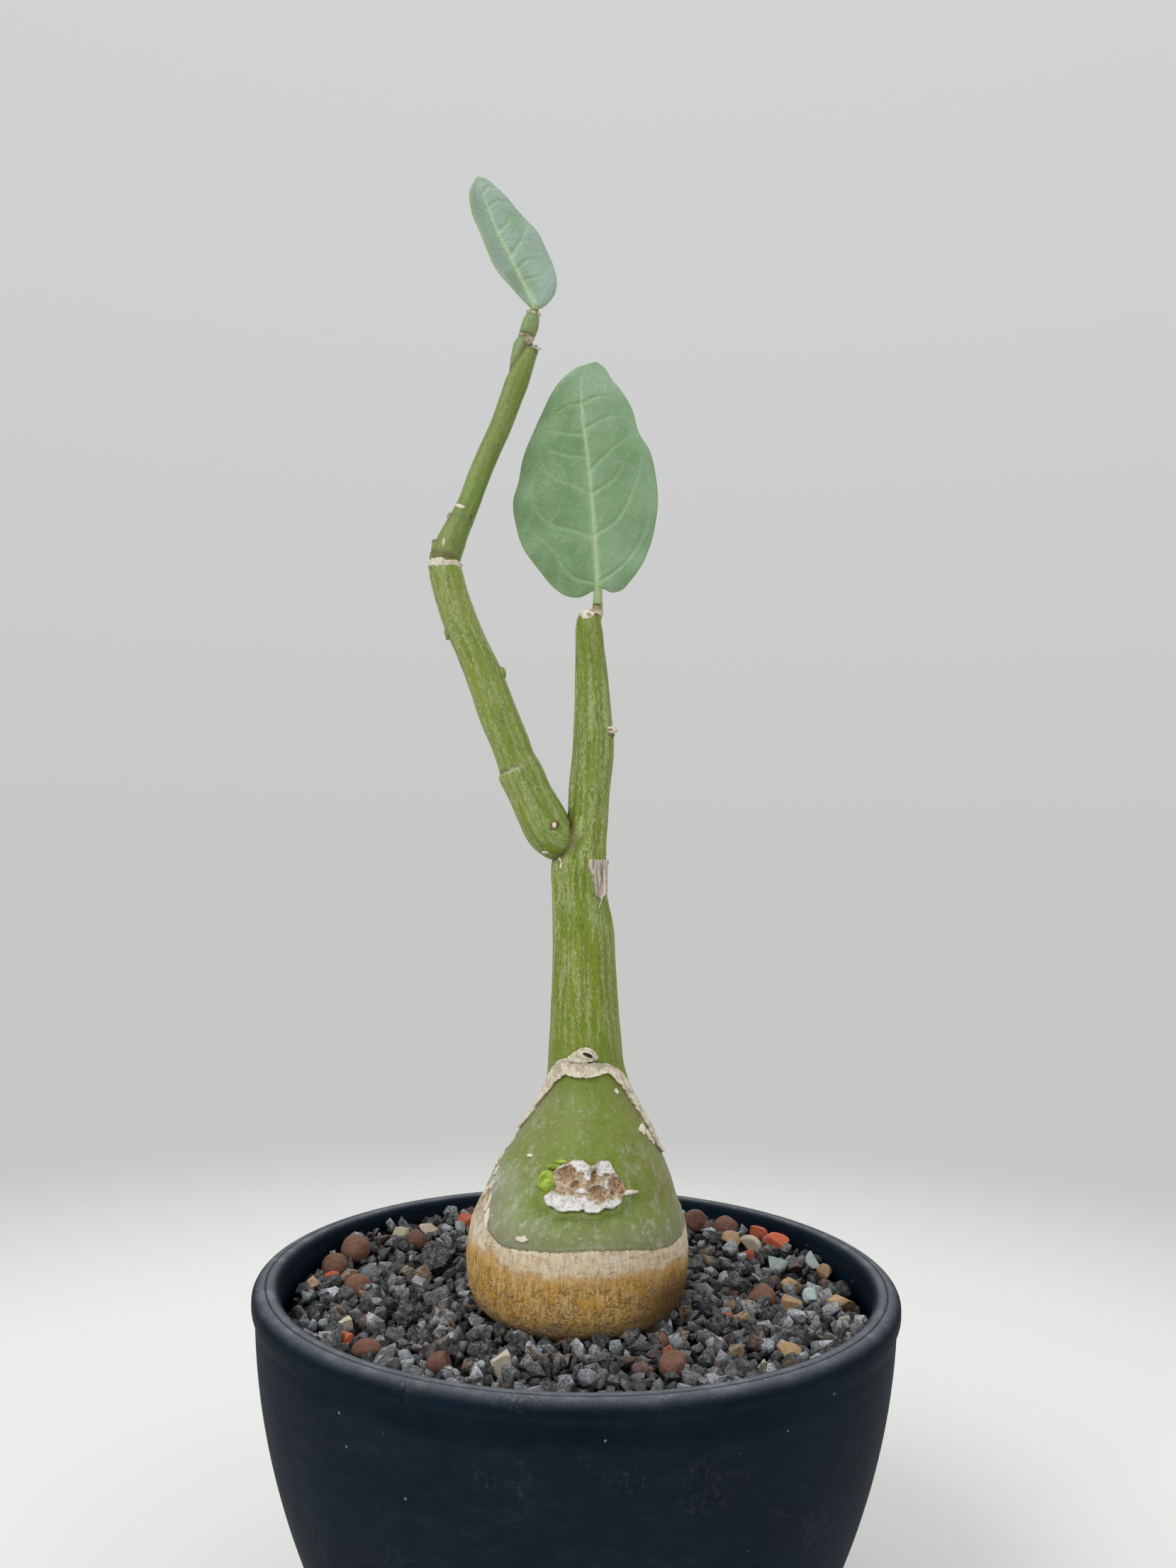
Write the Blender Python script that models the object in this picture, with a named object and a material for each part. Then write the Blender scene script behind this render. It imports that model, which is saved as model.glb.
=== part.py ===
"""Potted adenia: a young caudex plant in a black nursery pot.

The script works in millimetres and scales each mesh to metres when it makes the object.
+Z is up, the origin is the bottom centre of the pot, and the plant's front faces -Y.
"""

import math
import random

import bmesh
import bpy
from mathutils import Vector, geometry

MM = 0.001
GAP = 0.3  # between a piece and what carries it

# Pot. A depth is measured down from the rim.
POT_HEIGHT = 95.0
LIP_RADIUS = 75.0
LIP_INNER_RADIUS = 68.7
LIP_DEPTH = 6.8
LIP_ROUND = 2.0
LIP_STEP = 0.7  # the lip's lower edge, and the fall from it to the wall
WALL_RADIUS = 74.2  # of the wall's curve at the rim
WALL_CURVE = 0.0036  # how fast the wall draws in, per square millimetre of depth
WALL_THICKNESS = 3.0
WALL_DEPTHS = (20.0, 33.0, 46.0, 58.0, 69.0, 79.0, 87.0)  # rings down the outside
INSIDE_DEPTHS = (12.0, 25.0, 40.0, 55.0, 69.0, 81.0)  # rings down the inside
FOOT_RADIUS = 40.5
FOOT_CORNER = ((3.4, 3.0), (1.5, 0.9), (0.0, 0.0))  # beyond the foot's radius, and height
FLOOR_THICKNESS = 3.0
FLOOR_RADIUS = 38.0
POT_SIDES = 48
DRAIN_HOLES = 6
DRAIN_RADIUS = 4.0
DRAIN_CIRCLE = 26.0
DRAIN_SIDES = 12

# Potting mix.
SOIL_DEPTH = 9.5
SOIL_RISE = 5.5  # the surface lies this much higher at the back of the wall
SOIL_RISE_FROM = 2.0
SOIL_RISE_TO = 38.0
SOIL_RISE_RADIUS = 68.0
GRAIN_SPACING = 3.4  # of the lattice: the grains are 1.7 times as far apart
GRAIN_PEAK = 1.1
GRAIN_VALLEY = -0.75
GRAIN_JITTER = 0.55
GRAIN_ROUGHNESS = 0.45
GRAIN_MARGIN = 2.5  # no grain's point lies nearer to the wall or the caudex
EDGE_ROUGHNESS = 0.4
HOLE_SIDES = 24

# Main stem: height, centre x, centre y and radius, from the root's tip to the right branch's top.
ROOT = ((50, 0, 0, 1.4), (65, 0, 0, 3.6), (75, 0, 0, 5.6), (79, 0, 0, 9.6), (81.5, 0, 0, 14.6))
CAUDEX = (
    (84.3, 0, 0, 19.3), (87, 0, 0, 22.7), (90, 0, 0, 24.7), (94, 0, 0, 25.8), (98.5, 0, 0, 26.1),
    (103, 0.1, 0, 25.8), (108, 0.2, 0, 24.9), (113.5, 0.6, 0, 22.6), (117, 0.8, 0, 21.3),
    (121, 0.9, 0, 19.4), (124.5, 1.3, 0, 17.3), (128.5, 1.8, 0, 15.2), (133, 2.0, 0, 12.6),
    (138, 1.8, 0, 10.3), (142.5, 1.3, 0, 9.2), (149.5, 1.0, 0, 8.5),
)
TRUNK = (
    (158, 0.6, 0.2, 8.0), (167, 0.3, 0.2, 7.7), (176, -0.1, 0.1, 7.4), (183.5, -1.1, 0, 6.8),
    (191.5, -1.3, 0, 6.7), (197, -0.5, 0.2, 5.9),
)
RIGHT_BRANCH = (
    (202, 0.5, 0.5, 5.1), (208.7, 0.9, 0.8, 5.0), (220, 1.7, 1.1, 4.9), (228.2, 1.4, 1.3, 4.5),
    (234.2, 1.1, 1.5, 4.1), (245.3, 0.3, 1.6, 3.5), (250.5, 0.0, 1.6, 3.1), (252.8, 0.0, 1.6, 2.5),
    (254.0, 0.2, 1.6, 1.5),
)
STEM_SIDES = 24
FLUTES = 8
FLUTE_DEPTH = 0.22
FLUTE_FADE = 10.0  # the length over which the ribs start and end
FLUTE_TWIST = 0.05  # radians per millimetre of height

# Side stems: x, y, z and radius along each.
LEFT_BRANCH = (
    (-2.5, -0.6, 196.0, 3.8), (-5.6, -1.2, 196.4, 5.1), (-8.4, -1.6, 198.6, 5.7), (-10.5, -2.0, 202.1, 5.7),
    (-13.2, -2.5, 207.2, 5.3), (-16.2, -2.9, 214.0, 5.0), (-16.6, -3.0, 214.9, 4.8), (-18.8, -3.3, 220.4, 4.7),
    (-22.0, -3.7, 227.8, 4.7), (-25.1, -4.0, 235.9, 4.5), (-28.3, -4.2, 243.0, 4.2), (-31.4, -4.4, 249.6, 4.2),
    (-34.2, -4.2, 257.6, 4.1), (-35.4, -4.0, 262.3, 4.0), (-35.8, -4.0, 264.6, 3.5), (-35.8, -4.0, 265.6, 2.2),
)
UPPER_SHOOT = (
    (-35.7, -4.0, 262.5, 3.0), (-35.6, -4.0, 265.2, 3.7), (-35.3, -3.9, 266.5, 3.4), (-34.8, -3.8, 268.6, 3.3),
    (-33.4, -3.5, 272.2, 3.0), (-30.9, -3.2, 277.8, 2.5), (-28.0, -2.4, 287.0, 2.4), (-25.7, -1.8, 293.2, 2.3),
    (-23.0, -1.2, 300.1, 2.3), (-20.5, -0.6, 307.5, 2.5), (-19.0, -0.2, 312.0, 2.6), (-18.3, 0.0, 315.0, 1.8),
)
TOP_TWIG = (
    (-19.4, 0.0, 310.5, 1.8), (-18.7, 0.1, 315.0, 2.3), (-18.3, 0.3, 318.6, 2.4), (-17.6, 0.5, 322.2, 2.4),
    (-17.1, 0.5, 323.4, 1.9), (-16.7, 0.6, 324.4, 2.1), (-16.1, 0.6, 326.4, 2.1), (-15.8, 0.7, 327.9, 1.7),
    (-15.6, 0.7, 328.8, 1.9), (-15.3, 0.7, 330.1, 1.4),
)
CUT_STUB = ((-18.2, -0.6, 309.6, 1.5), (-16.6, -0.8, 315.2, 1.4), (-15.3, -1.0, 319.2, 1.3))
OLD_STUB = ((-36.6, -4.0, 263.0, 2.0), (-37.3, -4.0, 267.4, 1.6), (-37.6, -4.0, 270.4, 1.2))
LEAF_SEAT = ((1.5, 1.5, 251.5, 1.5), (2.0, 1.5, 254.3, 1.4), (2.1, 1.5, 255.2, 1.2))
BRANCH_SIDES = 14
TWIG_SIDES = 9

# Bark collar round the caudex's neck, from its own middle line. It dips at both sides.
COLLAR_HEIGHT = 144.5
COLLAR_DIP = 22.0
COLLAR_DIP_POWER = 6  # the dip is steep, and close to the sides
COLLAR_WIDTH = 2.6
COLLAR_PROUD = 0.45
COLLAR_SEGMENTS = 40
COLLAR_WANDER = 0.5

# Marks raised from the main stem: angle in degrees, height, half width, half height and proud height.
# An angle of -90 faces the front and 0 the right.
HEALED_CUT = (-90.0, 119.0, 9.2, 5.2, 1.3)
BARK_PATCH = (-42.0, 187.6, 3.4, 4.5, 0.35)
CRUST_SIDES = 16
MARK_ROOT = 1.4  # how far a mark's edge and the collar are sunk into the stem

# Knobs on the surfaces: x, y, z and the three half sizes.
KNOBS = (
    (-9.6, -18.4, 118.2, 1.7, 1.6, 2.6),  # green bud beside the healed cut
    (6.9, 1.0, 223.2, 1.1, 1.1, 0.8),  # dry scale on the right branch
    (5.6, 0.6, 218.8, 1.2, 1.8, 4.2),  # swelling under that scale
    (-21.1, -4.2, 236.7, 1.2, 1.6, 2.0),  # leaf scars on the left branch
    (-34.3, -4.4, 247.0, 0.9, 1.4, 2.2),
    (-12.6, -1.6, 196.4, 1.2, 1.4, 1.4),
    (-35.0, -3.8, 275.2, 0.8, 0.9, 1.2),  # small scar on the upper shoot
)
STICK = ((9.0, -19.3, 117.6, 0.6), (11.4, -18.9, 117.0, 0.6), (13.6, -17.5, 116.6, 0.5))
CURL = (0.8, -9.6, 145.6)  # middle of the loop where the bark's edge curls up
CURL_RADIUS = 2.2
CURL_TUBE = 0.75
CURL_WIDTH = 1.6  # times the tube's own radius, towards the stem
CURL_START = -20.0
CURL_SWEEP = 220.0
CURL_STEPS = 8
CURL_SIDES = 6

# Leaves: rows along the blade, each with the distance along and across for the midrib, the
# left margin and the right margin. The base is where the blade meets its stalk.
RIGHT_ROWS = (
    (0.0, 0.0, -1.3, -2.3, -0.1, 1.8), (1.2, -0.1, -2.2, -4.5, -0.8, 3.5),
    (2.7, -0.2, -1.9, -7.2, -0.2, 5.8),
    (5.2, -0.4, 0.0, -10.4, 2.1, 8.1), (8.7, -0.6, 5.0, -14.9, 5.9, 10.8),
    (13.2, -1.0, 10.1, -18.7, 11.5, 13.0), (18.7, -1.5, 16.9, -21.0, 17.2, 14.3),
    (24.2, -2.0, 22.2, -21.7, 22.9, 14.8),
    (29.5, -2.6, 27.4, -20.5, 28.6, 14.4), (34.7, -3.3, 33.2, -19.6, 34.9, 12.8),
    (40.0, -4.1, 40.0, -16.9, 40.5, 9.8), (45.2, -4.8, 45.4, -14.9, 46.3, 8.0),
    (50.0, -5.1, 50.6, -12.2, 50.9, 5.0), (53.7, -5.0, 54.1, -9.2, 54.3, 2.4),
    (56.2, -4.0, 56.2, -6.6, 57.0, 0.9), (57.6, -2.2, 57.4, -3.2, 57.9, -0.6),
)
LEFT_ROWS = (
    (0.3, 0.0, -0.2, -1.0, -0.8, 1.1), (1.5, 0.0, 1.2, -1.6, -0.4, 2.9),
    (3.0, -0.1, 3.2, -2.4, 0.9, 5.5), (5.0, -0.1, 5.8, -3.5, 2.8, 7.1),
    (7.5, -0.2, 8.6, -4.5, 5.4, 8.2), (11.0, -0.3, 12.2, -5.3, 9.5, 8.9),
    (15.0, -0.4, 16.2, -5.4, 13.6, 8.9), (19.0, -0.6, 20.2, -5.3, 18.0, 8.7),
    (23.0, -0.7, 24.2, -5.1, 21.8, 7.7), (27.0, -0.5, 28.0, -4.9, 26.0, 6.4),
    (30.5, -0.3, 31.2, -4.2, 30.2, 5.0), (33.6, 0.0, 34.0, -2.9, 33.8, 3.7),
    (35.7, 0.2, 35.8, -1.4, 36.1, 2.5), (36.9, 0.4, 36.8, -0.2, 37.0, 1.2),
)
RIGHT_LEAF = {
    "rows": RIGHT_ROWS,
    "base": (2.0, 1.2, 259.6),
    "lean": 0.0,  # degrees that the midrib leans to the left
    "stalk": ((2.1, 1.5, 255.5, 1.3), (2.1, 1.3, 257.6, 1.15)),
    "across": 12,  # faces from margin to margin
    "folds": (0.16, 0.11),  # how fast the left and right halves bend back
    "wave": 0.8,
    "wave_rate": 0.42,
    "wave_phases": (1.0, 2.4),
}
LEFT_LEAF = {
    "rows": LEFT_ROWS,
    "base": (-15.0, 0.7, 331.2),
    "lean": 25.3,
    "stalk": ((-15.2, 0.7, 330.4, 1.1),),
    "across": 8,
    "folds": (-0.45, 0.09),
    "wave": 0.4,
    "wave_rate": 0.5,
    "wave_phases": (1.0, 2.4),
}
BLADE_THICKNESS = 0.8
MIDRIB_THICKNESS = 1.5
MIDRIB_SHARE = 0.14  # of the half blade
VEIN_RELIEF = 0.22

STONE_LIFT = 0.15  # of the half height, above the surface
STONE_MARGIN = 1.4
CHIP_CORNERS = 13
# Larger stones in the mix: kind, x, y, half width and half height.
STONES = (
    ("clay", -65.5, 18.5, 3.7, 3.0), ("clay", -58.0, 26.0, 4.2, 3.4), ("clay", -42.5, 35.0, 3.2, 2.8),
    ("brick", -60.5, 13.5, 2.3, 1.8), ("brick", -50.5, -22.5, 1.8, 1.5), ("brick", 45.5, 30.5, 1.9, 1.6),
    ("brick", 51.0, 43.5, 3.0, 2.4), ("brick", 54.0, 35.0, 3.7, 2.4), ("brick", -31.5, 53.0, 3.6, 1.9),
    ("clay", -53.5, 7.5, 3.2, 2.9), ("clay", 33.0, 53.0, 3.6, 3.0), ("clay", 43.0, 50.5, 4.0, 2.7),
    ("clay", 44.5, 7.0, 4.1, 2.8), ("clay", 20.5, -35.5, 3.7, 2.7), ("clay", -28.0, -36.5, 3.0, 2.2),
    ("clay", -45.0, -29.0, 3.2, 1.9), ("clay", 18.5, -21.0, 2.2, 1.8), ("pale", -48.0, 38.0, 2.9, 2.2),
    ("pale", -40.5, 44.0, 3.8, 1.9), ("pale", 46.0, 35.0, 3.4, 2.5), ("pale", 62.0, 24.0, 2.3, 2.5),
    ("pale", 64.5, 19.0, 2.1, 2.3), ("pale", 52.0, 2.0, 3.3, 2.4), ("pale", 53.5, 13.0, 2.6, 2.8),
    ("pale", -15.0, -37.0, 2.7, 3.0), ("pale", 46.0, -27.5, 2.9, 2.1), ("pale", 66.0, 4.0, 3.2, 2.5),
    ("pale", 51.5, 25.0, 3.0, 2.4), ("pale", 58.0, 7.5, 2.7, 2.1), ("pale", -35.0, -36.5, 2.0, 1.5),
    ("pale", 41.5, 40.5, 3.0, 2.0), ("pale", -33.0, 48.5, 2.2, 1.7),
    ("pale", 30.0, -52.0, 3.0, 2.3), ("clay", 3.0, -57.0, 3.4, 2.7), ("pale", -52.0, -16.0, 2.5, 2.1),
    ("brick", -8.0, 60.0, 2.8, 2.1), ("clay", 14.0, 58.5, 3.3, 2.6), ("pale", -20.0, 57.0, 2.6, 2.1),
    ("grit", -36.0, 24.5, 5.6, 4.4), ("grit", -20.0, -30.0, 3.6, 2.8), ("grit", 33.0, -12.0, 3.8, 2.8),
    ("grit", -38.0, -12.0, 3.8, 3.0), ("grit", 30.0, 25.0, 3.8, 2.8), ("grit", -25.0, -55.0, 3.6, 2.8),
)

COLOURS = {
    "pot": (0.022, 0.025, 0.030, 0.55),
    "grit": (0.055, 0.056, 0.062, 0.95),
    "clay": (0.16, 0.062, 0.040, 0.85),
    "brick": (0.48, 0.10, 0.035, 0.85),
    "pale": (0.46, 0.34, 0.20, 0.80),
    "stem": (0.20, 0.29, 0.055, 0.50),
    "leaf": (0.21, 0.36, 0.22, 0.55),
}


def clear_scene():
    for obj in list(bpy.data.objects):
        bpy.data.objects.remove(obj, do_unlink=True)


def material(name):
    red, green, blue, roughness = COLOURS[name]
    made = bpy.data.materials.new(name)
    made.use_nodes = True
    shader = made.node_tree.nodes["Principled BSDF"]
    shader.inputs["Base Color"].default_value = (red, green, blue, 1.0)
    shader.inputs["Roughness"].default_value = roughness
    shader.inputs["Metallic"].default_value = 0.0
    return made


def object_from(name, bm, materials, smooth_angle=40.0):
    """The object of a bmesh in millimetres, scaled to metres."""
    bmesh.ops.scale(bm, vec=(MM, MM, MM), verts=bm.verts)
    bmesh.ops.recalc_face_normals(bm, faces=bm.faces)
    mesh = bpy.data.meshes.new(name)
    bm.to_mesh(mesh)
    bm.free()
    for made in materials:
        mesh.materials.append(made)
    mesh.shade_smooth()
    mesh.set_sharp_from_angle(angle=math.radians(smooth_angle))
    obj = bpy.data.objects.new(name, mesh)
    bpy.context.scene.collection.objects.link(obj)
    return obj


def boolean(obj, others, operation):
    """Joins the others to the object, or cuts them from it, and removes them."""
    tools = bpy.data.collections.new("tools")
    bpy.context.scene.collection.children.link(tools)
    for other in others:
        bpy.context.scene.collection.objects.unlink(other)
        tools.objects.link(other)
    modifier = obj.modifiers.new("join", "BOOLEAN")
    modifier.operand_type = "COLLECTION"
    modifier.collection = tools
    modifier.operation = operation
    modifier.solver = "MANIFOLD"
    graph = bpy.context.evaluated_depsgraph_get()
    obj.data = bpy.data.meshes.new_from_object(obj.evaluated_get(graph))
    obj.modifiers.clear()
    for other in others:
        bpy.data.objects.remove(other, do_unlink=True)
    bpy.data.collections.remove(tools)


def circle(x, y, z, radius, sides):
    turn = 2 * math.pi / sides
    return [Vector((x + radius * math.cos(turn * i), y + radius * math.sin(turn * i), z)) for i in range(sides)]


def loft(bm, rings, mirrored_from=None):
    """A closed skin through rings of equal length. Past mirrored_from the diagonals turn the other way,
    so that the two faces of a blade are split alike."""
    rows = [[bm.verts.new(point) for point in ring] for ring in rings]
    sides = len(rows[0])
    for low, high in zip(rows, rows[1:]):
        for i in range(sides):
            j = (i + 1) % sides
            if mirrored_from is not None and i >= mirrored_from:
                bm.faces.new((low[i], low[j], high[i]))
                bm.faces.new((low[j], high[j], high[i]))
            else:
                bm.faces.new((low[i], low[j], high[j]))
                bm.faces.new((low[i], high[j], high[i]))
    bm.faces.new(rows[0][::-1])
    bm.faces.new(rows[-1])


def sweep(bm, stations, sides):
    """A round tube through stations of x, y, z and radius."""
    points = [Vector(station[:3]) for station in stations]
    rings = []
    for i, (point, station) in enumerate(zip(points, stations)):
        along = (points[min(i + 1, len(points) - 1)] - points[max(i - 1, 0)]).normalized()
        side = along.cross(Vector((0, 1, 0))).normalized()
        up = side.cross(along)
        turn = 2 * math.pi / sides
        rings.append([
            point + station[3] * (math.cos(turn * k) * side + math.sin(turn * k) * up) for k in range(sides)
        ])
    loft(bm, rings)


def between(rows, value, column):
    """The column's value at this height in rows that start with their height."""
    for low, high in zip(rows, rows[1:]):
        if value <= high[0]:
            share = max(0.0, (value - low[0]) / (high[0] - low[0]))
            return low[column] + share * (high[column] - low[column])
    return rows[-1][column]


# Pot

def outer_radius(depth):
    return WALL_RADIUS - WALL_CURVE * depth * depth


def inner_profile():
    """Radius and depth down the inside, from under the lip's edge to the floor."""
    profile = [(LIP_INNER_RADIUS, LIP_ROUND)]
    for depth in INSIDE_DEPTHS:
        profile.append((outer_radius(depth) - WALL_THICKNESS, depth))
    profile.append((FLOOR_RADIUS, POT_HEIGHT - FLOOR_THICKNESS))
    return profile


def lip_profile():
    """Radius and depth over the lip, from its inner edge to its lower edge outside."""
    profile = []
    for edge, towards, degrees in (
        (LIP_INNER_RADIUS, 1, 60), (LIP_INNER_RADIUS, 1, 30), (LIP_INNER_RADIUS, 1, 0),
        (LIP_RADIUS, -1, 0), (LIP_RADIUS, -1, 45), (LIP_RADIUS, -1, 90),
    ):
        angle = math.radians(degrees)
        radius = edge + towards * LIP_ROUND * (1 - math.sin(angle))
        profile.append((radius, LIP_ROUND * (1 - math.cos(angle))))
    profile.append((LIP_RADIUS, LIP_DEPTH - LIP_STEP))
    profile.append((LIP_RADIUS - LIP_STEP / 2, LIP_DEPTH))
    return profile


def make_pot():
    profile = list(reversed(inner_profile())) + lip_profile()
    for depth in (LIP_DEPTH + LIP_STEP,) + WALL_DEPTHS:
        profile.append((outer_radius(depth), depth))
    for beyond, height in FOOT_CORNER:
        profile.append((FOOT_RADIUS + beyond, POT_HEIGHT - height))
    bm = bmesh.new()
    loft(bm, [circle(0, 0, POT_HEIGHT - depth, radius, POT_SIDES) for radius, depth in profile])
    pot = object_from("pot", bm, [material("pot")])
    cutters = []
    for i in range(DRAIN_HOLES):
        turn = 2 * math.pi * i / DRAIN_HOLES
        x = DRAIN_CIRCLE * math.cos(turn)
        y = DRAIN_CIRCLE * math.sin(turn)
        bm = bmesh.new()
        loft(bm, [circle(x, y, z, DRAIN_RADIUS, DRAIN_SIDES) for z in (-FLOOR_THICKNESS, 2 * FLOOR_THICKNESS)])
        cutters.append(object_from(f"drain_{i}", bm, []))
    boolean(pot, cutters, "DIFFERENCE")


# Potting mix

def soil_height(x, y):
    share = min(1.0, max(0.0, (y - SOIL_RISE_FROM) / (SOIL_RISE_TO - SOIL_RISE_FROM)))
    outward = min(1.0, math.hypot(x, y) / SOIL_RISE_RADIUS)
    return POT_HEIGHT - SOIL_DEPTH + SOIL_RISE * share * share * (3 - 2 * share) * outward * outward


def main_rows():
    return ROOT + CAUDEX + TRUNK + RIGHT_BRANCH


def pot_inside(height):
    rows = [(POT_HEIGHT - depth, radius) for radius, depth in reversed(inner_profile())]
    return between(rows, height, 1)


def surface_rings(rng):
    """The ring at the pot's wall and the ring at the caudex, where the relief ends."""
    wall = []
    for point in circle(0, 0, 0, 1.0, POT_SIDES):
        edge = point * SOIL_RISE_RADIUS
        height = soil_height(edge.x, edge.y) + rng.uniform(-EDGE_ROUGHNESS, EDGE_ROUGHNESS)
        radius = pot_inside(height) - GAP
        wall.append(Vector((point.x * radius, point.y * radius, height)))
    hole = []
    for point in circle(0, 0, 0, 1.0, HOLE_SIDES):
        height = soil_height(0.0, 0.0) + rng.uniform(-EDGE_ROUGHNESS, EDGE_ROUGHNESS)
        radius = between(main_rows(), height, 3) + GAP
        hole.append(Vector((point.x * radius, point.y * radius, height)))
    return wall, hole


def grain_points(rng):
    """A jittered three-colour lattice: each grain's top is ringed by low points."""
    hole_edge = between(main_rows(), soil_height(0.0, 0.0), 3) + GRAIN_MARGIN
    count = int(LIP_RADIUS / GRAIN_SPACING) + 2
    points = []
    for row in range(-2 * count, 2 * count + 1):
        for column in range(-2 * count, 2 * count + 1):
            x = GRAIN_SPACING * (column + row / 2) + rng.uniform(-GRAIN_JITTER, GRAIN_JITTER)
            y = GRAIN_SPACING * row * math.sqrt(3) / 2 + rng.uniform(-GRAIN_JITTER, GRAIN_JITTER)
            lift = GRAIN_PEAK if (column - row) % 3 == 0 else GRAIN_VALLEY
            lift += rng.uniform(-GRAIN_ROUGHNESS, GRAIN_ROUGHNESS)
            height = soil_height(x, y) + lift
            if hole_edge < math.hypot(x, y) < pot_inside(height) - GRAIN_MARGIN:
                points.append(Vector((x, y, height)))
    return points


def make_surface(bm, wall, hole, grains):
    """The relief between the two rings. Returns the vertices of each ring."""
    points = wall + hole + grains
    flat = [Vector((point.x, point.y)) for point in points]
    borders = [(i, (i + 1) % len(wall)) for i in range(len(wall))]
    borders += [(len(wall) + i, len(wall) + (i + 1) % len(hole)) for i in range(len(hole))]
    triangles = geometry.delaunay_2d_cdt(flat, borders, [], 0, 1e-6)[2]
    verts = [bm.verts.new(point) for point in points]
    in_hole = range(len(wall), len(wall) + len(hole))
    for triangle in triangles:
        if not all(i in in_hole for i in triangle):
            bm.faces.new([verts[i] for i in triangle])
    return verts[: len(wall)], verts[len(wall): len(wall) + len(hole)]


def extend(bm, ring, lower_rings):
    """Carries a ring of vertices on through lower rings and closes the last."""
    for points in lower_rings:
        low = [bm.verts.new(point) for point in points]
        for i in range(len(ring)):
            j = (i + 1) % len(ring)
            bm.faces.new((ring[i], ring[j], low[j], low[i]))
        ring = low
    bm.faces.new(ring)


def stone(kind, x, y, half_width, half_height, rng, slots):
    """A rounded clay ball, or the hull of a few random points for a chip, held clear of the wall."""
    inward = min(1.0, (LIP_INNER_RADIUS - STONE_MARGIN - half_width) / math.hypot(x, y))
    x *= inward
    y *= inward
    bm = bmesh.new()
    if kind == "clay":
        bmesh.ops.create_icosphere(bm, subdivisions=1, radius=1.0)
        for vert in bm.verts:
            vert.co *= rng.uniform(0.93, 1.05)
    else:
        for _ in range(CHIP_CORNERS):
            aim = Vector((rng.uniform(-1, 1), rng.uniform(-1, 1), rng.uniform(-1, 1)))
            bm.verts.new(aim.normalized() * rng.uniform(0.9, 1.1))
        hull = bmesh.ops.convex_hull(bm, input=bm.verts)
        loose = [item for item in hull["geom_interior"] if isinstance(item, bmesh.types.BMVert)]
        bmesh.ops.delete(bm, geom=loose, context="VERTS")
    slot = slots.index(kind)
    for face in bm.faces:
        face.material_index = slot
    turn = rng.uniform(0, math.pi)
    depth = half_width * rng.uniform(0.7, 0.9)
    for vert in bm.verts:
        wide = vert.co.x * half_width
        deep = vert.co.y * depth
        vert.co = Vector((
            x + wide * math.cos(turn) - deep * math.sin(turn),
            y + wide * math.sin(turn) + deep * math.cos(turn),
            soil_height(x, y) + (STONE_LIFT + vert.co.z) * half_height,
        ))
    return bm


def make_substrate():
    rng = random.Random(7)
    slots = ["grit", "clay", "brick", "pale"]
    materials = [material(name) for name in slots]
    bm = bmesh.new()
    wall, hole = surface_rings(rng)
    wall_ring, hole_ring = make_surface(bm, wall, hole, grain_points(rng))
    floor = POT_HEIGHT - FLOOR_THICKNESS
    depths = [(radius - GAP, depth) for radius, depth in inner_profile()[1:-1]]
    depths.append((FLOOR_RADIUS - GAP, floor - GAP))
    extend(bm, wall_ring, [circle(0, 0, POT_HEIGHT - depth, radius, POT_SIDES) for radius, depth in depths])
    socket = [circle(0, 0, row[0], row[3] + GAP, HOLE_SIDES) for row in reversed(ROOT + CAUDEX[:1])]
    socket.append(circle(0, 0, ROOT[0][0] - GAP, ROOT[0][3] + GAP, HOLE_SIDES))
    extend(bm, hole_ring, socket)
    substrate = object_from("substrate", bm, materials, 20.0)
    stones = []
    for i, (kind, x, y, half_width, half_height) in enumerate(STONES):
        made = stone(kind, x, y, half_width, half_height, rng, slots)
        stones.append(object_from(f"stone_{i}", made, materials, 30.0))
    boolean(substrate, stones, "UNION")


# Plant

def flute(height, angle):
    """The stems' shallow ribs, which fade out on the caudex and at the branch's top."""
    fade = min(1.0, max(0.0, (height - CAUDEX[-3][0]) / FLUTE_FADE))
    fade *= min(1.0, max(0.0, (RIGHT_BRANCH[-3][0] - height) / FLUTE_FADE))
    return FLUTE_DEPTH * fade * math.cos(FLUTES * angle + FLUTE_TWIST * height)


def main_stem():
    rings = []
    turn = 2 * math.pi / STEM_SIDES
    for height, x, y, radius in main_rows():
        ring = []
        for i in range(STEM_SIDES):
            wide = radius + flute(height, turn * i)
            ring.append(Vector((x + wide * math.cos(turn * i), y + wide * math.sin(turn * i), height)))
        rings.append(ring)
    bm = bmesh.new()
    loft(bm, rings)
    return bm


def on_stem(angle, height, proud):
    """A point that stands this proud of the main stem."""
    rows = main_rows()
    radius = between(rows, height, 3) + proud
    x = between(rows, height, 1) + radius * math.cos(angle)
    y = between(rows, height, 2) + radius * math.sin(angle)
    return Vector((x, y, height))


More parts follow.
